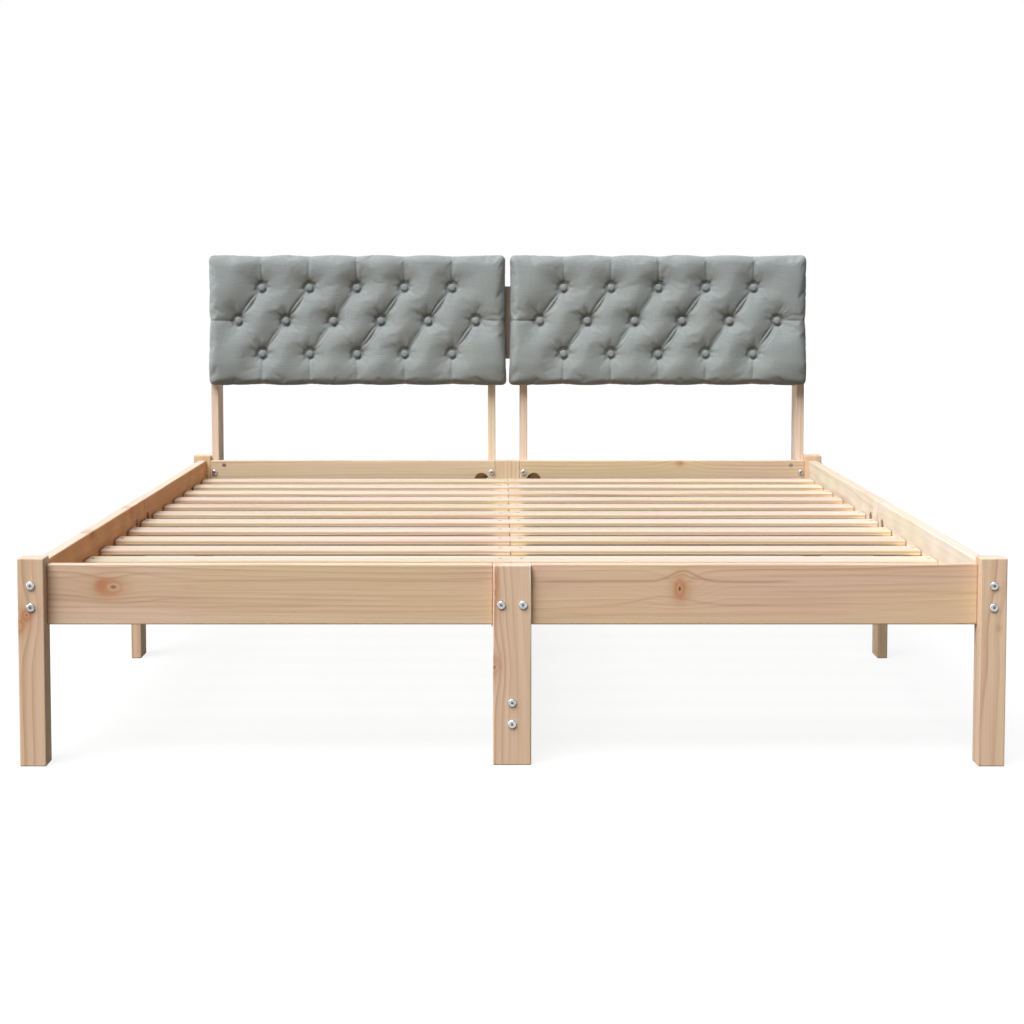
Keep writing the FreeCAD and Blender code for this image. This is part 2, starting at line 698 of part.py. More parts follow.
for side, sign in SIDES:
    panel = board(
        f"headboard_panel_{side}",
        (nearest(sign, "cushion_center - cushion_width / 2 + panel_margin",
                 "cushion_center + cushion_width / 2 - panel_margin"),
         "panel_front", "cushion_underside + panel_margin"),
        ("cushion_width - 2 * panel_margin", "panel_thickness", "cushion_height - 2 * panel_margin"),
    )
    for which, face, way in (("inner", "center_half + upright_thickness", 1),
                             ("outer", "side_inner - upright_thickness", -1)):
        upright = bodies[f"headboard_upright_{side}_{which}"]
        x = f"{sign} * ({face})"
        lateral = sign * way
        back = INWARD[lateral]
        for step in (-1, 1):
            middle = f"cushion_middle_height + {step} * bracket_pitch / 2"
            low_end = f"({middle}) - {lateral} * bracket_width / 2"
            brackets.append(((x, "head_rail_back", low_end), "+Z" if lateral > 0 else "-Z"))
            panel_x = f"{x} + {lateral} * bracket_hole"
            upright_y = "head_rail_back + bracket_hole"
            bore(panel, (panel_x, "head_rail_back", middle), "-Y", BRACKET_HOLE, BRACKET_HOLE_DEPTH)
            bore(upright, (x, upright_y, middle), back, BRACKET_HOLE, BRACKET_HOLE_DEPTH)
            bracket_screws.append(((panel_x, "head_rail_back + bracket_thickness", middle), "-Y"))
            bracket_screws.append(((f"{x} + {lateral} * bracket_thickness", upright_y, middle), back))

# Fasteners, each made once and copied to its places


def piece(name):
    """Start a fastener's body at its own origin."""
    body = doc.addObject("PartDesign::Body", name)
    corners[name] = ("0", "0", "0")
    return body


def solid_part(body, kind, place=("0", "0", "0"), **texts):
    """Add or cut a primitive in a body, with its sizes and place as expressions."""
    item = body.newObject("PartDesign::" + kind, body.Name + "_" + kind.lower())
    put(item, place)
    bind(item, **texts)
    return item


def round_rim(body, height, radius):
    """Round the circular edges that lie at one height of a body's shape."""
    doc.recompute()
    base = body.Tip
    names = [
        f"Edge{index}" for index, edge in enumerate(base.Shape.Edges, 1)
        if abs(edge.BoundBox.ZMin - height) + abs(edge.BoundBox.ZMax - height) < size("fit_gap")
    ]
    fillet = body.newObject("PartDesign::Fillet", body.Name + "_rim")
    fillet.Base = (base, names)
    bind(fillet, Radius=radius)


def connector_bolt(name, length):
    """Make a bolt with a low domed head, a hexagon socket and a plain shank."""
    body = piece(name)
    solid_part(body, "AdditiveCylinder", ("0", "0", "-bolt_head_height"),
               Radius="bolt_head_diameter / 2", Height="bolt_head_height")
    round_rim(body, -size("bolt_head_height"), "bolt_head_height * 3 / 4")
    solid_part(body, "AdditiveCylinder", Radius="bolt_diameter / 2", Height=length)
    socket = solid_part(body, "SubtractivePrism", ("0", "0", "-bolt_head_height"),
                        Circumradius="bolt_socket_width / 2", Height="bolt_socket_depth")
    socket.Polygon = HEXAGON
    return body


def countersunk_screw(name, shank, head, length):
    """Make a wood screw with a countersunk slotted head and a pointed end."""
    body = piece(name)
    sink = f"({head} - {shank}) / 2"
    solid_part(body, "AdditiveCone", Radius1=f"{head} / 2", Radius2=f"{shank} / 2", Height=sink)
    solid_part(body, "AdditiveCylinder", Radius=f"{shank} / 2", Height=f"{length} - {shank}")
    solid_part(body, "AdditiveCone", ("0", "0", f"{length} - {shank}"),
               Radius1=f"{shank} / 2", Radius2=f"{shank} / 8", Height=shank)
    solid_part(body, "SubtractiveBox",
               (f"-{head} / 2 - cut_overrun", "-screw_slot_width / 2", "-cut_overrun"),
               Length=f"{head} + 2 * cut_overrun", Width="screw_slot_width",
               Height="screw_slot_depth + cut_overrun")
    return body


through = "{} + barrel_setback + bolt_tip"
post_bolt = connector_bolt("post_bolt_master", through.format("post_width"))
center_bolt = connector_bolt("center_bolt_master", through.format("center_post_depth"))
head_bolt = connector_bolt("head_bolt_master", through.format("board_thickness"))
spacer_bolt = connector_bolt(
    "spacer_bolt_master", "center_post_width + 2 * upright_thickness + nut_height + cut_overrun")
leg_bolt = connector_bolt("leg_bolt_master", "3 * board_thickness + nut_height + cut_overrun")
group("corner_bolts", copies("corner_bolt", post_bolt, corner_bolts))
group("center_post_bolts", copies("center_bolt", center_bolt, center_bolts))
group("headboard_bolts", copies("head_bolt", head_bolt, head_bolts))

nut = piece("nut_master")
hexagon = solid_part(nut, "AdditivePrism", Circumradius="nut_width / 2", Height="nut_height")
hexagon.Polygon = HEXAGON
solid_part(nut, "SubtractiveCylinder", ("0", "0", "-cut_overrun"),
           Radius="bore_diameter / 2", Height="nut_height + 2 * cut_overrun")
nut_places = [(("-center_half - upright_thickness", y, z), way) for (x, y, z), way in spacer_bolts]
nut_places += [(("-board_thickness * 3 / 2", y, z), way) for (x, y, z), way in leg_bolts]
group("through_bolts_and_nuts", copies("spacer_bolt", spacer_bolt, spacer_bolts)
      + copies("leg_bolt", leg_bolt, leg_bolts) + copies("nut", nut, nut_places))

barrel = piece("barrel_master")
solid_part(barrel, "AdditiveCylinder", ("0", "0", "-barrel_length / 2"),
           Radius="barrel_diameter / 2", Height="barrel_length")
across = barrel.newObject("PartDesign::SubtractiveCylinder", "barrel_thread")
put(across, ("0", "-barrel_diameter", "0"), "+Y")
bind(across, Radius="bore_diameter / 2", Height="2 * barrel_diameter")
slot_corner = ("-barrel_slot_width / 2", "-barrel_diameter / 2 - cut_overrun",
               "-barrel_length / 2 - cut_overrun")
solid_part(barrel, "SubtractiveBox", slot_corner,
           Length="barrel_slot_width", Width="barrel_diameter + 2 * cut_overrun",
           Height="barrel_slot_depth + cut_overrun")
group("barrel_nuts", copies("barrel", barrel, barrels))

pocket_bolt = piece("pocket_bolt_master")
solid_part(pocket_bolt, "AdditiveCylinder", ("0", "0", "-pocket_flange_thickness"),
           Radius="pocket_flange_diameter / 2", Height="pocket_flange_thickness")
hexagon = solid_part(pocket_bolt, "AdditivePrism", ("0", "0", "-pocket_flange_thickness - nut_height"),
                     Circumradius="nut_width / 2", Height="nut_height")
hexagon.Polygon = HEXAGON
solid_part(pocket_bolt, "AdditiveCylinder", Radius="bolt_diameter / 2",
           Height="pocket_seat + pocket_bolt_grip")
group("pocket_bolts", copies("pocket_bolt", pocket_bolt, pocket_bolts))

dowel = piece("dowel_master")
DOWEL_END = "dowel_diameter / 2 - dowel_chamfer"
solid_part(dowel, "AdditiveCone", Radius1=DOWEL_END, Radius2="dowel_diameter / 2", Height="dowel_chamfer")
solid_part(dowel, "AdditiveCylinder", ("0", "0", "dowel_chamfer"),
           Radius="dowel_diameter / 2", Height="dowel_length - 2 * dowel_chamfer")
solid_part(dowel, "AdditiveCone", ("0", "0", "dowel_length - dowel_chamfer"),
           Radius1="dowel_diameter / 2", Radius2=DOWEL_END, Height="dowel_chamfer")
group("wooden_dowels", copies("dowel", dowel, dowels))

slat_screw = countersunk_screw(
    "slat_screw_master", "slat_screw_diameter", "slat_screw_head", "slat_screw_length")
group("slat_screws", copies("slat_screw", slat_screw, slat_screws))
screw = countersunk_screw(
    "frame_screw_master", "frame_screw_diameter", "frame_screw_head", "frame_screw_length")
group("frame_screws", copies("frame_screw", screw, frame_screws))

bracket_screw = piece("bracket_screw_master")
solid_part(bracket_screw, "AdditiveCylinder", ("0", "0", "-bracket_thickness"),
           Radius="slat_screw_head / 2", Height="bracket_thickness")
round_rim(bracket_screw, -size("bracket_thickness"), "bracket_thickness / 2")
solid_part(bracket_screw, "AdditiveCylinder", Radius="slat_screw_diameter / 2", Height="bracket_screw_length")
group("angle_brackets", copies("bracket", bracket, brackets)
      + copies("bracket_screw", bracket_screw, bracket_screws))

# Headboard cushions: a crowned pad with a scalloped outline, drawn in at the
# waist, tufted at sixteen buttons with folds between them

BUTTON_ROW_SHARES = (
    (1, (-2, -1, 0, 1, 2)),
    (0, (-2.5, -1.5, -0.5, 0.5, 1.5, 2.5)),
    (-1, (-2, -1, 0, 1, 2)),
)
PROFILE_SHARES = ((0, 0.15), (0.3, 0), (0.55, 0.05), (0.75, 0.25), (0.88, 0.62), (0.96, 1.4), (1, 3.2))
CORNER_BULGE_SHARE = 1 - math.sqrt(0.5)


def button_rows():
    """Give the button places of a cushion from its middle, row by row, top first."""
    return [
        [Vector(share * size("button_pitch"), 0, row * size("button_row_pitch")) for share in shares]
        for row, shares in BUTTON_ROW_SHARES
    ]


def arc(first, last, rise):
    """Draw a shallow arc between two points that bulges to its left."""
    chord = last - first
    side = Vector(-chord.z, 0, chord.x).normalize()
    return Part.Arc(first, (first + last) / 2 + side * rise, last).toShape()


def cushion_outline(y, inset):
    """Draw a cushion's scalloped outline at one depth, drawn in by an inset."""
    rise, corner = size("lobe_rise"), size("corner_radius")
    flank = size("cushion_width") / 2 - rise - inset
    top = size("cushion_height") / 2 - rise - inset
    narrowing = flank / (flank + inset)
    half = [(-flank + corner, top, rise)]
    half += [(spot.x * narrowing, top, rise) for spot in button_rows()[0]]
    half += [(flank - corner, top, corner * CORNER_BULGE_SHARE)]
    half += [(flank, top - corner, rise), (flank - size("waist_draw"), 0, rise)]
    half += [(flank, corner - top, corner * CORNER_BULGE_SHARE)]
    outline = half + [(-x, -z, bulge) for x, z, bulge in half]
    edges = []
    for index, (x, z, bulge) in enumerate(outline):
        next_x, next_z, next_bulge = outline[(index + 1) % len(outline)]
        edges.append(arc(Vector(x, y, z), Vector(next_x, y, next_z), bulge))
    return Part.Wire(edges)


def tuft_cutter(spot):
    """Make the round dimple around a button, its walls bulging like stuffed cloth."""
    floor_radius = size("button_diameter") / 2 + size("fit_gap")
    mouth, floor = size("tuft_radius"), size("button_depth")
    flare = size("tuft_flare")
    start, rim = Vector(floor_radius, floor, 0), Vector(mouth, 0, 0)
    swell = Vector((floor_radius + mouth) / 2, floor / 2 - size("tuft_bulge"), 0)
    outer, crest = Vector(mouth + flare, -size("lobe_rise"), 0), Vector(0, -size("lobe_rise"), 0)
    deep = Vector(0, floor, 0)
    edges = [Part.makeLine(deep, start), Part.Arc(start, swell, rim).toShape()]
    edges += [Part.makeLine(rim, outer), Part.makeLine(outer, crest), Part.makeLine(crest, deep)]
    cutter = Part.Face(Part.Wire(edges)).revolve(Vector(), Vector(0, 1, 0), 360)
    cutter.translate(spot)
    return cutter


def pleat_cutter(first, last):
    """Make the cutter of one fold that runs from one point to another."""
    wide, deep = size("pleat_width"), size("pleat_depth")
    bulge, flare, lift = size("pleat_bulge"), size("tuft_flare"), size("lobe_rise")
    left, right, bottom = Vector(-wide, 0, 0), Vector(wide, 0, 0), Vector(0, deep, 0)
    left_lip, right_lip = Vector(-wide - flare, -lift, 0), Vector(wide + flare, -lift, 0)
    edges = [
        Part.makeLine(left_lip, left),
        Part.Arc(left, Vector(-wide / 2, deep / 2 - bulge, 0), bottom).toShape(),
        Part.Arc(bottom, Vector(wide / 2, deep / 2 - bulge, 0), right).toShape(),
        Part.makeLine(right, right_lip), Part.makeLine(right_lip, left_lip),
    ]
    run = last - first
    cutter = Part.Face(Part.Wire(edges)).extrude(Vector(0, 0, run.Length))
    cutter.Placement = FreeCAD.Placement(first, FreeCAD.Rotation(Vector(0, 0, 1), run))
    return cutter


def pleat_lines():
    """List the folds: diagonals between neighbours, and runs that sink to the edges."""
    top, middle, bottom = button_rows()
    half_width, half_height = size("cushion_width") / 2, size("cushion_height") / 2
    sink = size("edge_pleat_depth")
    lines = []
    for row in (top, bottom):
        for index, spot in enumerate(row):
            lines += [(middle[index], spot), (middle[index + 1], spot)]
    lines += [(spot, Vector(spot.x, sink, half_height)) for spot in top]
    lines += [(spot, Vector(spot.x, sink, -half_height)) for spot in bottom]
    lines += [(middle[0], Vector(-half_width, sink, 0)), (middle[-1], Vector(half_width, sink, 0))]
    return lines


def tufted_cushion():
    """Make a cushion around its own middle, its front at zero depth, facing -Y."""
    depth = size("cushion_depth") - size("fit_gap")
    sections = [
        cushion_outline(depth * (1 - share), inset * size("edge_roll"))
        for share, inset in PROFILE_SHARES
    ]
    pad = Part.makeLoft(sections, True, True)
    tufts = [tuft_cutter(spot) for row in button_rows() for spot in row]
    pleats = [pleat_cutter(first, last) for first, last in pleat_lines()]
    pad = pad.cut(pleats).cut(tufts)
    margin, gap = size("panel_margin") - size("fit_gap"), size("panel_thickness") + size("fit_gap")
    wide, high = size("cushion_width") - 2 * margin, size("cushion_height") - 2 * margin
    rebate = Part.makeBox(wide, gap, high, Vector(-wide / 2, size("cushion_depth") - gap, -high / 2))
    return pad.cut(rebate)


for side, sign in SIDES:
    cushion = doc.addObject("Part::Feature", f"headboard_cushion_{side}")
    cushion.Label = cushion.Name
    cushion.Shape = tufted_cushion()
    cushion.Placement = FreeCAD.Placement(
        Vector(sign * size("cushion_center"), size("cushion_front"), size("cushion_middle_height")),
        FreeCAD.Rotation(),
    )
    nodes.append(cushion)

button = piece("button_master")
solid_part(button, "AdditiveCylinder", Radius="button_diameter / 2", Height="button_height")
round_rim(button, size("button_height"), "button_height * 3 / 4")
buttons = []
for side, sign in SIDES:
    for row, shares in BUTTON_ROW_SHARES:
        for share in shares:
            buttons.append(((
                f"{sign} * cushion_center + {share} * button_pitch",
                "cushion_front + button_depth - fit_gap",
                f"cushion_middle_height + {row} * button_row_pitch",
            ), "-Y"))
group("headboard_buttons", copies("button", button, buttons))

# Check every object, then write one file for each node

doc.recompute()
failed = [item.Name for item in doc.Objects if {"Invalid", "Error"} & set(item.State)]
failed += [node.Label for node in nodes if node.Shape.isNull() or not node.Shape.isValid()]
if failed:
    raise RuntimeError("not built: " + ", ".join(failed))
for node in nodes:
    node.Shape.exportStep(os.path.join("parts", node.Label + ".step"))
print(len(nodes), "nodes,", sum(len(node.Shape.Solids) for node in nodes), "solids")
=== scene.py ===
"""A double bed frame in pine with a two-part button-tufted headboard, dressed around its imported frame."""

import logging
import math
from collections.abc import Iterable, Iterator, Sequence
from contextlib import contextmanager
from dataclasses import dataclass, field
from enum import Enum

import bmesh
import bpy
import numpy as np
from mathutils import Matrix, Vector


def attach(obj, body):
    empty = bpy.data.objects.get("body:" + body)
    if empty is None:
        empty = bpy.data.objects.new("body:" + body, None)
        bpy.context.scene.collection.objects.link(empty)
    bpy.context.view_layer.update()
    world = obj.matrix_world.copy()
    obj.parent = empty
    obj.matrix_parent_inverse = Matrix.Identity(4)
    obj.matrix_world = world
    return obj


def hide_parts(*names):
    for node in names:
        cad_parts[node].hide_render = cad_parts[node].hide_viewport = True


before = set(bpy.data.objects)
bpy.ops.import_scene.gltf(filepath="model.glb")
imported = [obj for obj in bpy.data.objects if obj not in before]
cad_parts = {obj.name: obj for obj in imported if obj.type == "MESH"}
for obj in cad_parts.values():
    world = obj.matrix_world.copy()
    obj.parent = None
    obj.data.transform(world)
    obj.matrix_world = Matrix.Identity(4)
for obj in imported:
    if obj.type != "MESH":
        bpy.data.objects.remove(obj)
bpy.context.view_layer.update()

LOG = logging.getLogger("bed_frame")

Colour = tuple[float, float, float]
Point2 = tuple[float, float]
Point3 = tuple[float, float, float]
Loop = tuple[np.ndarray, np.ndarray, float]
WHITE = (1.0, 1.0, 1.0)
EARLY_WOOD = (0.82, 0.615, 0.44)
LATE_WOOD = (0.46, 0.25, 0.125)


@dataclass(frozen=True)
class Box:
    """The box round one piece of the frame, in metres."""

    low: Point3
    high: Point3

    @classmethod
    def of(cls, node: str) -> "Box":
        """The box of the frame node of that name."""
        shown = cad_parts[node]
        corners = [shown.matrix_world @ Vector(corner) for corner in shown.bound_box]
        low, high = (tuple(pick(c[axis] for c in corners) for axis in range(3)) for pick in (min, max))
        return cls(low, high)

    @property
    def middle(self) -> Point3:
        """The box's middle."""
        return tuple((low + high) / 2.0 for low, high in zip(self.low, self.high))


class Flow:
    """A value on its way through a material's nodes: Python's operators add Math nodes to it."""

    def __init__(self, recipe: "Recipe", socket: bpy.types.NodeSocket) -> None:
        """Keeps the recipe that the socket belongs to, and the socket."""
        self.recipe = recipe
        self.socket = socket

    def _maths(self, operation: str, *values: "Flow | float") -> "Flow":
        """Adds a Math node.

        Args:
            operation: The Math node's operation.
            values: Its inputs, in order.

        Returns:
            The node's result.
        """
        return self.recipe.node("ShaderNodeMath", {"operation": operation}, dict(enumerate(values)))

    def __add__(self, other: "Flow | float") -> "Flow":
        """self + other."""
        return self._maths("ADD", self, other)

    def __radd__(self, other: float) -> "Flow":
        """other + self."""
        return self._maths("ADD", other, self)

    def __sub__(self, other: "Flow | float") -> "Flow":
        """self - other."""
        return self._maths("SUBTRACT", self, other)

    def __rsub__(self, other: float) -> "Flow":
        """other - self."""
        return self._maths("SUBTRACT", other, self)

    def __mul__(self, other: "Flow | float") -> "Flow":
        """self * other."""
        return self._maths("MULTIPLY", self, other)

    def __rmul__(self, other: float) -> "Flow":
        """other * self."""
        return self._maths("MULTIPLY", other, self)

    def __truediv__(self, other: "Flow | float") -> "Flow":
        """self / other."""
        return self._maths("DIVIDE", self, other)

    def __rtruediv__(self, other: float) -> "Flow":
        """other / self."""
        return self._maths("DIVIDE", other, self)

    def __gt__(self, other: "Flow | float") -> "Flow":
        """1 where self > other, and 0 elsewhere."""
        return self._maths("GREATER_THAN", self, other)

    def __lt__(self, other: "Flow | float") -> "Flow":
        """1 where self < other, and 0 elsewhere."""
        return self._maths("LESS_THAN", self, other)

    def root(self) -> "Flow":
        """The square root."""
        return self._maths("SQRT", self)

    def sine(self) -> "Flow":
        """The sine."""
        return self._maths("SINE", self)

    def fraction(self) -> "Flow":
        """The part after the point."""
        return self._maths("FRACT", self)

    def fading(self) -> "Flow":
        """e to the power of minus the value."""
        return self._maths("EXPONENT", self * -1.0)

    def largest(self, other: "Flow | float") -> "Flow":
        """The larger of the two."""
        return self._maths("MAXIMUM", self, other)

    def step(self, low: float, high: float) -> "Flow":
        """A smooth step.

        Args:
            low: The value where the step is 0.
            high: The value where it is 1. It may be the lower of the two.

        Returns:
            The step, between 0 and 1.
        """
        sockets = {"Value": self, "From Min": low, "From Max": high}
        return self.recipe.node("ShaderNodeMapRange", {"interpolation_type": "SMOOTHSTEP"}, sockets)


class Recipe:
    """The node tree of a material or of the world."""

    def __init__(self, owner: bpy.types.Material | bpy.types.World) -> None:
        """Empties the owner's node tree."""
        owner.use_nodes = True
        self.owner = owner
        self.tree = owner.node_tree
        self.tree.nodes.clear()

    @classmethod
    def of_material(cls, name: str) -> "Recipe":
        """The recipe of a new material of that name."""
        return cls(bpy.data.materials.new(name))

    def node(
        self, kind: str, settings: dict | None = None, sockets: dict | None = None, output: int | str = 0
    ) -> Flow:
        """Adds a node.

        Args:
            kind: The node's type.
            settings: Its properties, set first. "stops" holds a ramp's (place, level) pairs.
            sockets: The values or links of its inputs, by name or number.
            output: The output to hand back.

        Returns:
            That output, or the first input of a node that has no output.
        """
        node = self.tree.nodes.new(kind)
        for key, value in (settings or {}).items():
            if key == "stops":
                self._set_stops(node.color_ramp, value)
            else:
                setattr(node, key, value)
        for key, value in (sockets or {}).items():
            if isinstance(value, Flow):
                self.tree.links.new(value.socket, node.inputs[key])
            elif isinstance(value, tuple) and node.inputs[key].type == "RGBA":
                node.inputs[key].default_value = (*value, 1.0)
            else:
                node.inputs[key].default_value = value
        return Flow(self, node.outputs[output] if len(node.outputs) else node.inputs[0])

    @staticmethod
    def _set_stops(ramp: bpy.types.ColorRamp, stops: Sequence[tuple[float, float]]) -> None:
        """Gives a ramp grey stops at the places given."""
        while len(ramp.elements) < len(stops):
            ramp.elements.new(1.0)
        for element, (place, level) in zip(ramp.elements, stops):
            element.position = place
            element.color = (level, level, level, 1.0)

    def mix(self, factor: Flow | float, low: Flow | Colour, high: Flow | Colour, blend: str = "MIX") -> Flow:
        """Mixes two colours.

        Args:
            factor: The share of the second colour.
            low: The first colour.
            high: The second colour.
            blend: The Mix node's blend type.

        Returns:
            The mixed colour.
        """
        settings = {"data_type": "RGBA", "blend_type": blend, "clamp_factor": True}
        return self.node("ShaderNodeMix", settings, {0: factor, 6: low, 7: high}, output=2)

    def _parts(self, vector: Flow) -> tuple[Flow, ...]:
        """The x, y and z of a vector."""
        split = self.node("ShaderNodeSeparateXYZ", sockets={0: vector}).socket.node
        return tuple(Flow(self, part) for part in split.outputs)

    def place(self) -> tuple[Flow, ...]:
        """The place on the bed in metres, as x, y and z."""
        return self._parts(self.node("ShaderNodeTexCoord", output="Object"))

    def facing(self) -> tuple[Flow, ...]:
        """The direction in which the surface faces, as x, y and z."""
        return self._parts(self.node("ShaderNodeNewGeometry", output="Normal"))

    def noise(self, place: Sequence[Flow], fineness: Sequence[float], detail: float = 2.0) -> Flow:
        """A noise around 0.5.

        Args:
            place: The three values that say where it is read.
            fineness: How fast it changes with each of them.
            detail: How many finer layers it has.

        Returns:
            The noise.
        """
        scaled = {index: value * fine for index, (value, fine) in enumerate(zip(place, fineness))}
        point = self.node("ShaderNodeCombineXYZ", sockets=scaled)
        return self.node("ShaderNodeTexNoise", sockets={"Vector": point, "Scale": 1.0, "Detail": detail})

    def rings(self, place: Flow) -> Flow:
        """Growth rings, one for each whole step of the value: pale wood that ends in dark wood."""
        profile = ((0.0, 0.05), (0.40, 0.12), (0.78, 0.62), (0.90, 1.0), (1.0, 0.05))
        return self.node("ShaderNodeValToRGB", {"stops": profile}, {0: place.fraction()})

    def bump(self, height: Flow, distance: float, strength: float) -> Flow:
        """A bumped normal.

        Args:
            height: The height, from 0 to 1.
            distance: How far a height of 1 stands out, in metres.
            strength: The bump's strength.

        Returns:
            The normal.
        """
        sockets = {"Height": height, "Distance": distance, "Strength": strength}
        return self.node("ShaderNodeBump", sockets=sockets)

    def surface(self, **sockets: Flow | float | Colour) -> bpy.types.Material:
        """Closes the recipe with a Principled shader.

        Args:
            sockets: The shader's inputs, with an underscore for each space.

        Returns:
            The finished material.
        """
        named = {key.replace("_", " "): value for key, value in sockets.items()}
        return self.output(self.node("ShaderNodeBsdfPrincipled", sockets=named))

    def output(self, shader: Flow) -> bpy.types.Material | bpy.types.World:
        """Links the shader to the owner's output, and hands back the owner."""
        kind = "World" if isinstance(self.owner, bpy.types.World) else "Material"
        self.node("ShaderNodeOutput" + kind, sockets={"Surface": shader})
        return self.owner

    def seen(self) -> Flow:
        """1 for a ray from the camera, a mirror or a glass."""
        camera = self.node("ShaderNodeLightPath", output="Is Camera Ray")
        outputs = camera.socket.node.outputs
        mirror, glass = Flow(self, outputs["Is Glossy Ray"]), Flow(self, outputs["Is Transmission Ray"])
        return camera.largest(mirror).largest(glass)


class Cut(Enum):
    """How a board is cut: its axes along the grain, across its broad face, and through its thickness."""

    CROSS_RAIL = (0, 2, 1)
    SIDE_RAIL = (1, 2, 0)
    POST = (2, 0, 1)
    DEEP_POST = (2, 1, 0)
    SLAT = (0, 1, 2)
    BEARER = (1, 0, 2)


@dataclass(frozen=True)
class Knot:
    """A knot on a board's broad face, in metres of the bed's own frame."""

    along: float
    across: float
    half_length: float = 0.020
    half_width: float = 0.012
    heart_shift: float = 0.003
    redness: float = 0.8
    darkness: float = 0.8
    swirl: float = 0.012
    swirl_reach: float = 0.050
    swirl_width: float = 0.026
    red: Colour = (0.50, 0.155, 0.05)
    dark: Colour = (0.10, 0.028, 0.015)
    pale: Colour = EARLY_WOOD

    def push(self, along: Flow, across: Flow) -> Flow:
        """How far the growth rings are pushed aside round the knot, in metres."""
        far_along = (along - self.along) / self.swirl_reach
        far_across = (across - self.across) / self.swirl_width
        return (far_along * far_along + far_across * far_across).fading() * self.swirl

    def _distance(self, along: Flow, across: Flow, ripple: Flow) -> Flow:
        """The squared distance from the knot's middle, in knot radii."""
        dx = (along - self.along) / self.half_length
        dy = (across - self.across + (ripple - 0.5) * self.half_width) / self.half_width
        return dx * dx + dy * dy

    def draw(self, r: Recipe, colour: Flow, along: Flow, across: Flow, ripple: Flow) -> Flow:
        """Draws the knot: a red glow, an inner ring, and a dark heart in a pale one.

        Args:
            r: The board's recipe.
            colour: The wood's colour.
            along: The place along the grain.
            across: The place across the broad face.
            ripple: The noise that makes the knot uneven.

        Returns:
            The colour with the knot.
        """
        off = self._distance(along, across, ripple)
        colour = r.mix((off * 0.55).fading() * self.redness * 0.62, colour, self.red)
        ring = (off * 1.6).sine() * 0.5 + 0.5
        colour = r.mix(off.step(1.3, 0.5) * ring * 0.35 * self.redness, colour, self.red)
        if self.darkness > 0.0:
            heart = self._distance(along - self.heart_shift, across, ripple)
            colour = r.mix(heart.step(0.34, 0.08) * 0.30, colour, self.pale)
            colour = r.mix(heart.step(0.07, 0.015) * self.darkness, colour, self.dark)
        return colour


@dataclass(frozen=True)
class GrainLine:
    """A bold growth line on a board's broad face: it runs level and bends round a knot. A pale one serves as
    a painted highlight along an edge.
    """

    across: float
    start: float
    end: float
    strength: float = 0.5
    width: float = 0.0016
    bend: float = 0.0
    bend_at: float = 0.0
    bend_reach: float = 0.030
    colour: Colour = (0.42, 0.225, 0.12)
    fade: float = 0.06
    waviness: float = 0.006

    def shown(self, along: Flow, across: Flow, ripple: Flow) -> Flow:
        """How strongly the line shows, from 0 to its strength."""
        near = (along - self.bend_at) / self.bend_reach
        place = (near * near).fading() * self.bend + (ripple - 0.5) * self.waviness + self.across
        off = (across - place) / self.width
        ends = along.step(self.start, self.start + self.fade) * along.step(self.end, self.end - self.fade)
        return (off * off).fading() * ends * self.strength


@dataclass(frozen=True)
class Zone:
    """A part of a board with its own tint, used for painted light and shade: the part that lies past each of
    its limits.
    """

    tint: Colour
    limits: tuple[tuple[int, float, float], ...]

    def mask(self, place: Sequence[Flow]) -> Flow | float:
        """1 inside the zone and 0 outside it.

        Args:
            place: The point's x, y and z.

        Returns:
            The mask.
        """
        mask: Flow | float = 1.0
        for axis, start, full in self.limits:
            mask = place[axis].step(start, full) * mask
        return mask


def painted_top_light(height: float, blend: float = 0.0012) -> Zone:
    """The top face of a board that ends at that height, tinted paler and creamier as painted light from
    above.
    """
    return Zone((0.99, 1.12, 1.33), ((2, height - blend, height),))


@dataclass(frozen=True)
class Patches:
    """A colour that comes and goes in the wood with a noise of its own."""

    colour: Colour
    fineness: Point3
    start: float
    full: float
    share: float
    detail: float = 2.0

    def draw(self, r: Recipe, colour: Flow, spot: Sequence[Flow]) -> Flow:
        """Lays the patches over the wood's colour."""
        shown = r.noise(spot, self.fineness, self.detail).step(self.start, self.full)
        return r.mix(shown * self.share, colour, self.colour)


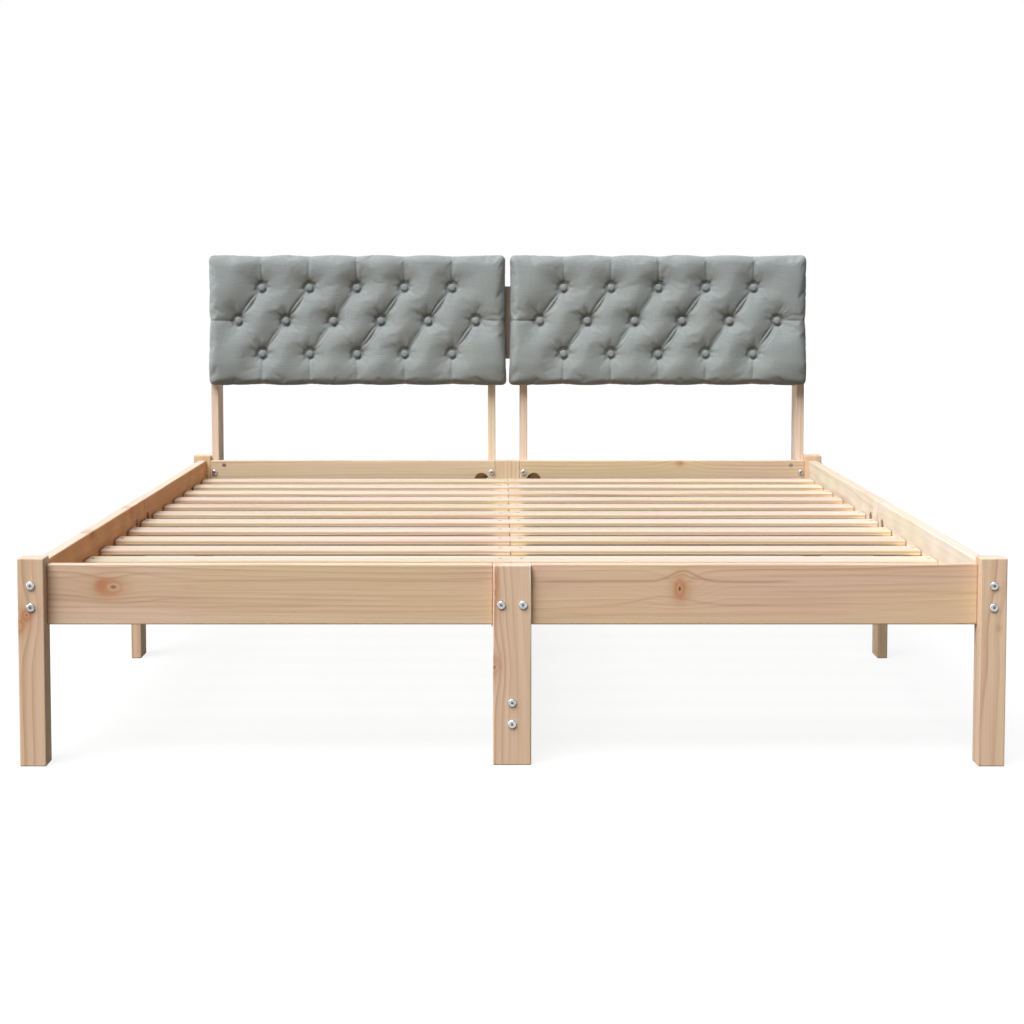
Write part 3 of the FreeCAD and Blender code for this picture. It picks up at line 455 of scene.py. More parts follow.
@dataclass(frozen=True)
class Pine:
    """Planed pine with a clear matt finish, cut from its own place in a log."""

    cut: Cut
    pith: Point2
    seed: float = 0.0
    tint: Colour = WHITE
    far_tint: Colour | None = None
    zones: tuple[Zone, ...] = ()
    knots: tuple[Knot, ...] = ()
    lines: tuple[GrainLine, ...] = ()
    ring_width: float = 0.0085
    warp: float = 0.045
    ripple: float = 0.003
    far_shift: float = 3.7
    early: Colour = EARLY_WOOD
    late: Colour = LATE_WOOD
    bands: Patches = Patches(LATE_WOOD, (0.8, 24.0, 24.0), 0.38, 0.66, share=0.26)
    pink: Patches = Patches((0.76, 0.53, 0.40), (1.4, 46.0, 46.0), 0.42, 0.66, share=0.42)
    straw: Patches = Patches((0.74, 0.57, 0.34), (2.0, 8.0, 8.0), 0.44, 0.62, share=0.55, detail=1.0)
    warp_fineness: Point3 = (1.1, 3.0, 3.0)
    ripple_fineness: Point3 = (5.0, 14.0, 14.0)
    fibre_fineness: Point3 = (7.0, 330.0, 330.0)
    bold_fineness: Point3 = (0.31, 0.3, 0.0)

    def material(self, name: str) -> bpy.types.Material:
        """Makes the material of one board.

        Args:
            name: The material's name.

        Returns:
            The material.
        """
        r = Recipe.of_material(name)
        place = r.place()
        along, across, depth = (place[axis] for axis in self.cut.value)
        far = place[0] > 0.0 if self.far_tint else None
        run = along + self.seed
        run = run + far * self.far_shift if far else run
        spot = (run, across, depth)
        ripple = r.noise(spot, self.ripple_fineness, detail=1.0)
        fibre = r.noise(spot, self.fibre_fineness, detail=3.0)
        rings = self._rings(r, spot, along, ripple)
        bold = r.noise((rings, run, across), self.bold_fineness, detail=1.0).step(0.40, 0.62)
        grain = r.rings(rings) * (bold * 0.8 + 0.2)
        colour = self._wood(r, spot, grain, fibre)
        for knot in self.knots:
            colour = knot.draw(r, colour, along, across, ripple)
        for line in self.lines:
            colour = r.mix(line.shown(along, across, ripple), colour, line.colour)
        shade = r.mix(far, self.tint, self.far_tint) if far else self.tint
        # The zones lay painted light and shade over the board's tint.
        for zone in self.zones:
            shade = r.mix(zone.mask(place), shade, zone.tint)
        return r.surface(
            Base_Color=r.mix(1.0, colour, shade, blend="MULTIPLY"),
            Roughness=fibre * 0.16 + 0.52 + grain * 0.06,
            Normal=r.bump(grain * 0.4 + fibre * 0.6, 0.0005, 0.7),
            Specular_IOR_Level=0.12,
            Sheen_Weight=0.20,
            Sheen_Roughness=0.30,
            Sheen_Tint=(1.0, 0.98, 0.92),
        )

    def _rings(self, r: Recipe, spot: Sequence[Flow], along: Flow, ripple: Flow) -> Flow:
        """The distance from the log's pith, counted in growth rings."""
        dx, dy = spot[1] - self.pith[0], spot[2] - self.pith[1]
        warp = r.noise(spot, self.warp_fineness, detail=1.0)
        radius = (dx * dx + dy * dy).root() + (warp - 0.5) * self.warp + (ripple - 0.5) * self.ripple
        for knot in self.knots:
            radius = radius + knot.push(along, spot[1])
        return radius / self.ring_width

    def _wood(self, r: Recipe, spot: Sequence[Flow], grain: Flow, fibre: Flow) -> Flow:
        """The colour of clear wood: its grain, with bands, pink streaks, straw patches and dark fibres."""
        colour = r.mix(grain * 0.72, self.early, self.late)
        for patches in (self.bands, self.pink, self.straw):
            colour = patches.draw(r, colour, spot)
        return r.mix((fibre - 0.40) * 0.5, colour, self.late)


@dataclass(frozen=True)
class Plywood:
    """Raw plywood: a veneer face with long grain, and stacked plies on the edges."""

    pale: Colour = (0.70, 0.53, 0.34)
    dark: Colour = (0.48, 0.32, 0.18)
    glue: Colour = (0.24, 0.14, 0.08)
    ply: float = 0.0015
    ring_width: float = 0.011

    def material(self, name: str) -> bpy.types.Material:
        """Makes the material, under that name."""
        r = Recipe.of_material(name)
        place = r.place()
        _, y, z = place
        warp = r.noise(place, (1.6, 5.0, 5.0))
        figure = r.rings((z + warp * 0.16) / self.ring_width)
        fibre = r.noise(place, (9.0, 240.0, 240.0), detail=3.0)
        layers = (y / self.ply).fraction()
        line = layers.step(0.16, 0.02).largest(layers.step(0.86, 0.98))
        crossed = (y / (2.0 * self.ply)).fraction() > 0.5
        across = r.facing()[1]
        edge = (across * across).step(0.6, 0.3)
        colour = r.mix(figure * 0.45 + (fibre - 0.4) * 0.5, self.pale, self.dark)
        colour = r.mix(edge * crossed * 0.5, colour, self.dark)
        colour = r.mix(edge * line * 0.8, colour, self.glue)
        return r.surface(Base_Color=colour, Roughness=fibre * 0.2 + 0.52, Normal=r.bump(fibre, 0.0005, 0.6))


@dataclass(frozen=True)
class Beech:
    """Turned beech with short flecks."""

    pale: Colour = (0.66, 0.45, 0.27)
    fleck: Colour = (0.42, 0.24, 0.12)

    def material(self, name: str) -> bpy.types.Material:
        """Makes the material, under that name."""
        r = Recipe.of_material(name)
        place = r.place()
        flecks = r.noise(place, (260.0, 260.0, 900.0)).step(0.55, 0.7)
        cloud = r.noise(place, (40.0, 40.0, 40.0))
        colour = r.mix(flecks * 0.5 + (cloud - 0.5) * 0.4, self.pale, self.fleck)
        return r.surface(Base_Color=colour, Roughness=cloud * 0.2 + 0.42, Normal=r.bump(flecks, 0.0002, 0.5))


@dataclass(frozen=True)
class Zinc:
    """Zinc plate with a faint spangle, rubbed patches, and painted shade in the recesses."""

    bright: Colour = (0.60, 0.61, 0.63)
    dull: Colour = (0.36, 0.37, 0.38)
    painted_recess_shade: Colour = (0.05, 0.05, 0.055)
    recess: float = 0.005

    def material(self, name: str) -> bpy.types.Material:
        """Makes the material, under that name."""
        r = Recipe.of_material(name)
        place = r.place()
        cloud = r.noise(place, (170.0, 170.0, 170.0), detail=3.0)
        grit = r.noise(place, (1500.0, 1500.0, 1500.0))
        # Ambient occlusion darkens the recesses towards near-black: painted shade.
        outer = r.node("ShaderNodeAmbientOcclusion", {"samples": 8}, {"Distance": self.recess}, output="AO")
        colour = r.mix(cloud.step(0.40, 0.72), self.bright, self.dull)
        colour = r.mix(outer.step(0.15, 0.85), self.painted_recess_shade, colour)
        relief = r.bump(grit, 0.00006, 0.6)
        return r.surface(Base_Color=colour, Metallic=1.0, Roughness=cloud * 0.26 + 0.14, Normal=relief)


@dataclass(frozen=True)
class Weave:
    """Mid-grey plain-weave upholstery cloth, with slubs in both threads, and painted shade where it faces
    down or to the right.
    """

    thread: float = 0.0011
    pale: Colour = (0.356, 0.390, 0.391)
    deep: Colour = (0.262, 0.292, 0.294)
    warm: Colour = (0.318, 0.332, 0.320)
    # The colour of the painted shade on surfaces that face down or to the right.
    shade: Colour = (0.105, 0.102, 0.082)

    def material(self, name: str) -> bpy.types.Material:
        """Makes the material, under that name."""
        r = Recipe.of_material(name)
        place = r.place()
        x, y, z = place
        warp, weft = x + y, z - y
        turn = math.pi / self.thread
        over = (warp * turn).sine() * (weft * turn).sine()
        ribs = ((warp * 2.0 * turn).sine() * over + (weft * 2.0 * turn).sine() * over * -1.0) * 0.25 + 0.5
        slub_up = r.noise((warp, weft), (900.0, 22.0))
        slub_along = r.noise((warp, weft), (16.0, 760.0))
        slubs = slub_up * 0.4 + slub_along * 0.6
        cloud = r.noise(place, (16.0, 16.0, 16.0))
        colour = r.mix(slubs.step(0.30, 0.70) * 0.8 + over * 0.12, self.deep, self.pale)
        colour = r.mix(cloud.step(0.45, 0.7) * 0.4, colour, self.warm)
        # Painted shade: surfaces facing down or to the right are darkened towards the shade colour.
        right, _, up = r.facing()
        painted_shade_share = up.step(-0.30, -0.90) * 0.75 + right.step(0.45, 1.0) * 0.40
        return r.surface(
            Base_Color=r.mix(painted_shade_share, colour, self.shade),
            Roughness=slubs * 0.12 + 0.80,
            Normal=r.bump(ribs * 0.7 + slubs * 0.35, 0.0006, 0.5),
            Sheen_Weight=0.25,
            Sheen_Roughness=0.5,
            Sheen_Tint=(0.85, 0.88, 0.88),
            Specular_IOR_Level=0.25,
        )


def dress(node: str, material: bpy.types.Material) -> None:
    """Gives every material slot of a frame node that material, and reports it."""
    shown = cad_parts[node]
    if not shown.material_slots:
        shown.data.materials.append(None)
    for material_slot in shown.material_slots:
        material_slot.material = material
    LOG.info("%s: %s", node, material.name)


@dataclass
class Timbers:
    """The boards of one sub-assembly, each with the pine that it is cut from."""

    boards: dict[str, Pine] = field(default_factory=dict)

    def dress(self) -> None:
        """Dresses each board."""
        for node, pine in self.boards.items():
            dress(node, pine.material("pine_" + node))


@dataclass
class Ends(Timbers):
    """The posts and rails of the foot and the head."""

    foot_face: float = Box.of("front_rail_left").low[1]
    head_face: float = Box.of("rear_rail_left").low[1]
    rail_top: float = Box.of("front_rail_left").high[2]
    post_top: float = Box.of("front_post_left").high[2]
    post_axis: float = Box.of("front_post_right").middle[0]

    def __post_init__(self) -> None:
        """Chooses the pine of each board."""
        self._foot_rails()
        self._head_rails()
        self._posts()

    def _foot_rails(self) -> None:
        """The two rails that face the viewer, each with a large knot."""
        top = (painted_top_light(self.rail_top),)
        self.boards["front_rail_left"] = Pine(
            Cut.CROSS_RAIL,
            (0.200, self.foot_face + 0.055),
            seed=1.3,
            tint=(0.97, 0.96, 0.97),
            zones=top,
            knots=(
                Knot(-0.6850, 0.3045, 0.025, 0.0165, heart_shift=0.009, redness=0.80, darkness=0.55),
                Knot(-0.6965, 0.3065, 0.008, 0.0110, redness=0.50, darkness=0.0, swirl=0.002),
                Knot(-0.5450, 0.3030, 0.010, 0.0025, redness=0.15, darkness=0.12, swirl=0.002),
            ),
            lines=(
                GrainLine(0.3143, -0.58, -0.02, 0.30, 0.0022),
                GrainLine(0.3185, -0.83, -0.52, 0.26, 0.0022, 0.010, -0.66, 0.055),
                GrainLine(0.2840, -0.84, -0.50, 0.26, 0.0020, -0.008, -0.66, 0.060),
                GrainLine(0.2700, -0.83, -0.30, 0.34, 0.0018),
                GrainLine(0.2610, -0.60, -0.02, 0.20, 0.0026),
                GrainLine(0.2880, -0.40, -0.02, 0.16, 0.0030),
            ),
        )
        self.boards["front_rail_right"] = Pine(
            Cut.CROSS_RAIL,
            (0.205, self.foot_face + 0.065),
            seed=4.1,
            tint=(0.98, 0.96, 0.97),
            zones=top,
            knots=(
                Knot(0.2840, 0.3030, 0.010, 0.018, 0.0, redness=0.80, darkness=0.9, swirl=0.020),
                Knot(0.2900, 0.2960, 0.016, 0.016, 0.0, redness=0.30, darkness=0.0, swirl=0.004),
            ),
            lines=(
                GrainLine(0.3125, 0.02, 0.50, 0.55, 0.0022, 0.0175, 0.290, 0.028),
                GrainLine(0.3160, 0.24, 0.36, 0.50, 0.0012, 0.0080, 0.288, 0.014, (0.48, 0.18, 0.07)),
                GrainLine(0.2720, 0.10, 0.46, 0.26, 0.0020, 0.0140, 0.260, 0.060),
                GrainLine(0.2560, 0.02, 0.60, 0.16, 0.0030),
                GrainLine(0.2950, 0.42, 0.84, 0.20, 0.0026),
                GrainLine(0.3220, 0.40, 0.84, 0.24, 0.0020),
            ),
        )

    def _head_rails(self) -> None:
        """The rails and the center post under the headboard."""
        top = (painted_top_light(self.rail_top),)
        pith_left, pith_right = (0.430, self.head_face + 0.05), (0.440, self.head_face + 0.06)
        knots = (Knot(0.4583, 0.335, 0.009, 0.006, redness=0.8),)
        self.boards["rear_rail_left"] = Pine(Cut.CROSS_RAIL, pith_left, 7.7, (0.87, 0.93, 0.91), zones=top)
        self.boards["rear_rail_right"] = Pine(
            Cut.CROSS_RAIL, pith_right, 9.2, (0.89, 0.93, 0.94), zones=top, knots=knots
        )
        pith_post = (0.070, self.head_face + 0.04)
        self.boards["rear_center_post"] = Pine(Cut.POST, pith_post, 21.3, (0.87, 0.93, 0.92), zones=top)

    def _posts(self) -> None:
        """The corner posts and the center post of the foot."""
        top = (painted_top_light(self.post_top),)
        self.boards["front_post_left"] = Pine(
            Cut.POST,
            (0.040 - self.post_axis, self.foot_face + 0.05),
            seed=2.4,
            tint=(0.98, 0.97, 0.97),
            zones=top,
            knots=(
                Knot(0.2585, -0.8173, 0.011, 0.008, 0.0, redness=1.0, darkness=0.55, swirl=0.006),
                Knot(0.2400, -0.8300, 0.012, 0.010, 0.0, redness=0.75, darkness=0.15, swirl=0.004),
            ),
        )
        self.boards["front_post_right"] = Pine(
            Cut.POST,
            (self.post_axis - 0.042, self.foot_face + 0.06),
            seed=3.9,
            tint=(0.98, 0.97, 0.97),
            zones=top,
            knots=(Knot(0.2365, 0.8203, 0.006, 0.004, 0.0, redness=0.5, darkness=0.3, swirl=0.004),),
        )
        self.boards["front_center_post"] = Pine(
            Cut.POST,
            (0.050, self.foot_face + 0.05),
            seed=6.0,
            tint=(0.96, 0.95, 0.95),
            zones=(painted_top_light(self.rail_top),),
            knots=(
                Knot(0.3020, -0.0275, 0.034, 0.0042, -0.006, redness=0.95, darkness=0.35, swirl=0.002),
                Knot(0.2620, -0.0315, 0.030, 0.0032, 0.0, redness=0.7, darkness=0.0, swirl=0.001),
                Knot(0.1724, -0.0310, 0.016, 0.0120, -0.004, redness=0.42, darkness=0.5, swirl=0.010),
            ),
            lines=(
                # These two pale lines are painted highlights along the post's edges.
                GrainLine(-0.0318, 0.16, 0.40, 0.90, 0.0008, colour=(0.96, 0.86, 0.72)),
                GrainLine(0.0312, 0.16, 0.40, 0.95, 0.0009, colour=(0.98, 0.90, 0.78)),
            ),
        )
        pith_y = self.head_face + 0.09
        self.boards["rear_post_left"] = Pine(Cut.POST, (-self.post_axis, pith_y), seed=8.3)
        self.boards["rear_post_right"] = Pine(Cut.POST, (self.post_axis, pith_y), seed=8.9)


@dataclass
class Sides(Timbers):
    """The side rails and their mid legs, with painted light on the inner faces: warm bounce light in the
    shade on the left, a pale sheen on the right.
    """

    rail_low: float = Box.of("side_rail_right_front").low[2]
    rail_top: float = Box.of("side_rail_right_front").high[2]
    rail_axis: float = Box.of("side_rail_right_front").middle[0]
    inner_face: float = Box.of("side_rail_right_front").low[0]
    leg_middle: float = Box.of("side_mid_leg_right").middle[1]
    # Painted light on the inner faces: an amber tint for warm bounce light in the shade on the left, an
    # ivory tint for a pale sheen on the right.
    painted_bounce_amber: Colour = (1.20, 0.76, 0.42)
    painted_sheen_ivory: Colour = (1.00, 1.19, 1.44)

    SEEDS = {"left_front": 11.1, "left_rear": 12.5, "right_front": 13.4, "right_rear": 14.8}
    LEFT_KNOTS = (
        Knot(-0.597, 0.338, 0.022, 0.009, redness=0.7, darkness=0.8),
        Knot(-0.167, 0.330, 0.018, 0.014, redness=0.8, darkness=0.5),
        Knot(-0.480, 0.285, 0.050, 0.020, redness=0.3, darkness=0.0),
        Knot(-0.860, 0.300, 0.040, 0.016, redness=0.25, darkness=0.1),
    )
    LEG_KNOT = Knot(0.3068, -0.045, 0.008, 0.012, redness=0.6, darkness=0.5)

    def __post_init__(self) -> None:
        """Chooses the pine of each board."""
        above = (2, self.rail_low - 0.0005, self.rail_low + 0.0005)
        for name, seed in self.SEEDS.items():
            side = -1.0 if name.startswith("left") else 1.0
            pith = (0.262 + 0.012 * (seed % 3.0), side * (self.rail_axis + 0.045))
            knots = self.LEFT_KNOTS if name == "left_front" else ()
            zones = (self._painted_inner_face(side), painted_top_light(self.rail_top))
            self.boards["side_rail_" + name] = Pine(Cut.SIDE_RAIL, pith, seed, zones=zones, knots=knots)
        for name, side, seed in (("left", -1.0, 15.5), ("right", 1.0, 16.6)):
            pith = (self.leg_middle + 0.05, side * (self.rail_axis + 0.06))
            knots = (self.LEG_KNOT,) if side > 0.0 else ()
            zones = (self._painted_inner_face(side, above), painted_top_light(self.rail_top))
            self.boards["side_mid_leg_" + name] = Pine(Cut.DEEP_POST, pith, seed, zones=zones, knots=knots)

    def _painted_inner_face(self, side: float, *more: tuple[int, float, float]) -> Zone:
        """The inner face of one side, within further limits, tinted with painted light: warm bounce light in
        the shade on the left, a pale sheen on the right.
        """
        face = (0, side * (self.inner_face + 0.003), side * (self.inner_face + 0.001))
        return Zone(self.painted_bounce_amber if side < 0.0 else self.painted_sheen_ivory, (face, *more))


@dataclass
class SlatDeck(Timbers):
    """The rows of slats and the ledgers under their ends."""

    slat_top: float = Box.of("slat_row_01").high[2]
    ledger_axis: float = Box.of("slat_ledger_right_front").middle[0]

    TINTS = (
        (0.97, 1.13, 1.38),
        (0.94, 1.11, 1.29),
        (0.99, 1.09, 1.34),
        (0.98, 1.14, 1.40),
        (0.96, 1.07, 1.25),
    )

    def __post_init__(self) -> None:
        """Chooses the pine of each board."""
        # Painted shade and light on the slats' edges: darker just below the top, where the rounded edge
        # turns from the light, and paler lower down to lift the shade there.
        edge = Zone((0.84, 0.79, 0.69), ((2, self.slat_top - 0.0004, self.slat_top - 0.0030),))
        painted_low_light = Zone((1.18, 1.36, 1.52), ((2, self.slat_top - 0.0045, self.slat_top - 0.0075),))
        rows = sorted(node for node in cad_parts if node.startswith("slat_row_"))
        for row, node in enumerate(rows):
            pith_y = Box.of(node).low[1] + 0.03 * math.sin(2.3 * row)
            pith = (pith_y, self.slat_top - 0.045 - 0.02 * math.sin(1.7 * row))
            near, far = self.TINTS[(3 * row) % 5], self.TINTS[(2 * row + 1) % 5]
            self.boards[node] = Pine(Cut.SLAT, pith, 20.0 + 1.37 * row, near, far, zones=(edge, painted_low_light))
        for index, end in enumerate(("left_front", "left_rear", "right_front", "right_rear")):
            side = -1.0 if end.startswith("left") else 1.0
            pith = (0.25, side * (self.ledger_axis - 0.03))
            self.boards["slat_ledger_" + end] = Pine(Cut.SIDE_RAIL, pith, 40.0 + index)


@dataclass
class CenterSupport(Timbers):
    """The bearer under the slats' inner ends, its stretcher, and the leg that carries them."""

    bearer_top: float = Box.of("center_bearer").high[2]

    def __post_init__(self) -> None:
        """Chooses the pine of each board."""
        bearer_pith = (0.01, self.bearer_top - 0.05)
        self.boards = {
            "center_bearer": Pine(Cut.BEARER, bearer_pith, 51.0, (1.05, 1.20, 1.38)),
            "center_stretcher": Pine(Cut.SIDE_RAIL, (0.07, 0.04), 52.3),
            "center_leg_cheek_left": Pine(Cut.DEEP_POST, (-0.02, -0.07), 53.1),
            "center_leg_cheek_right": Pine(Cut.DEEP_POST, (-0.05, 0.07), 54.6),
            "center_strut_foot": Pine(Cut.DEEP_POST, (-0.54, 0.05), 55.2),
            "center_strut_head": Pine(Cut.DEEP_POST, (0.46, 0.05), 56.9),
        }


@dataclass
class HeadboardWood(Timbers):
    """The uprights, the spacer and the panels that carry the cushions."""

    upright_front: float = Box.of("headboard_upright_right_outer").low[1]
    outer_axis: float = Box.of("headboard_upright_right_outer").middle[0]
    inner_axis: float = Box.of("headboard_upright_right_inner").middle[0]

    def __post_init__(self) -> None:
        """Chooses the pine of each board."""
        for side, name, seed in ((-1.0, "left", 61.0), (1.0, "right", 63.0)):
            for place, axis, more in (("inner", self.inner_axis, 0.0), ("outer", self.outer_axis, 0.7)):
                pith = (self.upright_front + 0.03, side * axis + 0.04)
                pine = Pine(Cut.DEEP_POST, pith, seed + more, (1.12, 1.24, 1.38))
                self.boards[f"headboard_upright_{name}_{place}"] = pine
        pith = (0.02, self.upright_front + 0.09)
        self.boards["headboard_spacer"] = Pine(Cut.POST, pith, 66.4, (0.56, 0.63, 0.74))

    def dress(self) -> None:
        """Dresses the boards, and the panels in plywood."""
        super().dress()
        for side in ("left", "right"):
            dress(f"headboard_panel_{side}", Plywood().material(f"plywood_{side}"))


@dataclass
class Fasteners:
    """Bolts, nuts, screws, brackets and dowels."""

    zinc_nodes: tuple[str, ...] = (
        "corner_bolts",
        "center_post_bolts",
        "headboard_bolts",
        "through_bolts_and_nuts",
        "barrel_nuts",
        "pocket_bolts",
        "frame_screws",
        "angle_brackets",
    )

    def dress(self) -> None:
        """Gives the metal its zinc plate, the slat screws a dark one, and the dowels their beech."""
        zinc = Zinc().material("zinc_plate")
        for node in self.zinc_nodes:
            dress(node, zinc)
        dress("slat_screws", Zinc((0.20, 0.19, 0.18), (0.11, 0.105, 0.10)).material("dark_zinc"))
        dress("wooden_dowels", Beech().material("beech_dowel"))


def add_object(name: str, data: bpy.types.Mesh | bpy.types.Camera | bpy.types.Light) -> bpy.types.Object:
    """Puts the data into the scene as an object of that name."""
    piece = bpy.data.objects.new(name, data)
    bpy.context.scene.collection.objects.link(piece)
    return piece


def make_mesh(name: str, points: np.ndarray, faces: Iterable[Sequence[int]]) -> bpy.types.Object:
    """Makes a smooth-shaded mesh object.

    Args:
        name: The object's name.
        points: Its points in metres, one row each.
        faces: The corners of each face.

    Returns:
        The object, linked to the scene.
    """
    mesh = bpy.data.meshes.new(name)
    mesh.from_pydata([tuple(point) for point in points], [], [tuple(face) for face in faces])
    mesh.validate()
    shade_smooth(mesh)
    return add_object(name, mesh)


@contextmanager
def editing(mesh: bpy.types.Mesh) -> Iterator[bmesh.types.BMesh]:
    """Opens the mesh for changes, and writes them back at the end."""
    bm = bmesh.new()
    bm.from_mesh(mesh)
    yield bm
    bm.to_mesh(mesh)
    bm.free()


def shade_smooth(mesh: bpy.types.Mesh) -> None:
    """Shades every face smooth."""
    mesh.polygons.foreach_set("use_smooth", [True] * len(mesh.polygons))


def read_points(mesh: bpy.types.Mesh) -> np.ndarray:
    """The mesh's points, one row each."""
    flat = np.zeros(len(mesh.vertices) * 3)
    mesh.vertices.foreach_get("co", flat)
    return flat.reshape(-1, 3)


def write_points(mesh: bpy.types.Mesh, points: np.ndarray) -> None:
    """Moves the mesh's points to the rows given."""
    mesh.vertices.foreach_set("co", points.ravel())
    mesh.update()


def bell(off: np.ndarray, width: float) -> np.ndarray:
    """A round-topped ridge: 1 in the middle, fading over the width."""
    return np.exp(-((off / width) ** 2))


def cusp(off: np.ndarray, width: float) -> np.ndarray:
    """A sharp-topped ridge: 1 in the middle, fading over the width."""
    return np.exp(-off / width)


def arch(share: np.ndarray) -> np.ndarray:
    """An arch over the shares from 0 to 1: 0 at both ends and 1 in the middle."""
    return np.sin(np.pi * np.clip(share, 0.0, 1.0))


@dataclass(frozen=True)
class Hollow:
    """A broad hollow: how firmly stitches hold it, its depths, and its cross-section, in metres.

    The depth is that halfway between two buttons, and the hollow gets deeper towards them. A dart is as deep
    as deeper says at its button, and as depth says at the cushion's edge.
    """

    hold: float
    depth: float
    deeper: float
    cusp_share: float
    cusp_width: float
    bell_width: float

    def across(self, off: np.ndarray) -> np.ndarray:
        """Its cross-section, from 1 on the fold's line to 0 far from it."""
        sharp = self.cusp_share * cusp(off, self.cusp_width)
        return sharp + (1.0 - self.cusp_share) * bell(off, self.bell_width)


class FoldKind(Enum):
    """What a fold is: a soft valley, a pleat with an overlap, or a dart to the cushion's edge."""

    VALLEY = Hollow(0.25, depth=0.0060, deeper=0.0100, cusp_share=0.0, cusp_width=0.011, bell_width=0.030)
    PLEAT = Hollow(0.55, depth=0.0145, deeper=0.0070, cusp_share=0.5, cusp_width=0.011, bell_width=0.034)
    DART = Hollow(0.50, depth=0.0035, deeper=0.0130, cusp_share=0.4, cusp_width=0.007, bell_width=0.024)


@dataclass(frozen=True)
class Collar:
    """A ring of raised or sunk cloth round a button: its height, radius and width, in metres."""

    height: float
    radius: float
    width: float

    def at(self, off: np.ndarray) -> np.ndarray:
        """Its height at that distance from the button's middle."""
        return self.height * bell(off - self.radius, self.width)


@dataclass(frozen=True)
class Fold:
    """A line along which the cloth is drawn in, from one point of the cushion's face to another."""

    start: Point2
    end: Point2
    kind: FoldKind
    strength: float = 1.0

    lip: float = 0.0036
    lip_width: float = 0.0021
    seam_width: float = 0.0026
    dart: float = 0.0034
    dart_width: float = 0.0024
    second_lip: float = 0.0013
    second_away: float = 0.010

    def along_and_off(self, x: np.ndarray, z: np.ndarray) -> tuple[np.ndarray, np.ndarray]:
        """The place along the fold and the distance from its line.

        Args:
            x: The points' x.
            z: The points' z.

        Returns:
            The place along it, held between 0 and 1, and the signed distance, positive to its left.
        """
        (x0, z0), (x1, z1) = self.start, self.end
        run, rise = x1 - x0, z1 - z0
        length = math.hypot(run, rise)
        t = np.clip(((x - x0) * run + (z - z0) * rise) / length**2, 0.0, 1.0)
        side = np.where((z - z0) * run - (x - x0) * rise >= 0.0, 1.0, -1.0)
        return t, side * np.hypot(x - (x0 + t * run), z - (z0 + t * rise))

    def hollow(self, x: np.ndarray, z: np.ndarray) -> np.ndarray:
        """How deep the broad hollow along the fold is."""
        t, off = self.along_and_off(x, z)
        form = self.kind.value
        if self.kind is FoldKind.DART:
            depth = (form.deeper * (1.0 - t) ** 1.3 + form.depth * t) * (0.4 + 0.6 * self.strength)
        else:
            depth = form.depth + form.deeper * (1.0 - arch(t)) ** 1.5
        return depth * form.across(np.abs(off))

    def crease(self, x: np.ndarray, z: np.ndarray, index: int) -> np.ndarray:
        """How deep the sharp creases of the fold are.

        Args:
            x: The points' x.
            z: The points' z.
            index: The fold's number, which makes it differ from its neighbours.

        Returns:
            The depth at each point. A pleat's lips stand up, with a depth below zero.
        """
        t, off = self.along_and_off(x, z)
        if self.kind is FoldKind.VALLEY:
            return np.zeros_like(x)
        if self.kind is FoldKind.DART:
            return self.dart * self.strength * (1.0 - 0.6 * t) * bell(off, self.dart_width)
        lens = arch((t - 0.12 - 0.08 * math.sin(3.1 * index)) / 0.76)
        half_gape = (0.0014 + 0.0036 * self.strength) * lens
        slits = bell(off + half_gape, self.lip_width) + 0.75 * bell(off - half_gape, self.lip_width)
        main = self.lip * lens * (slits - bell(off, self.seam_width))
        beside = off + self.second_away + 0.004 * math.sin(2.1 * index) * arch(t)
        return self.strength * (main + self.second_lip * lens**2 * bell(beside, self.seam_width))


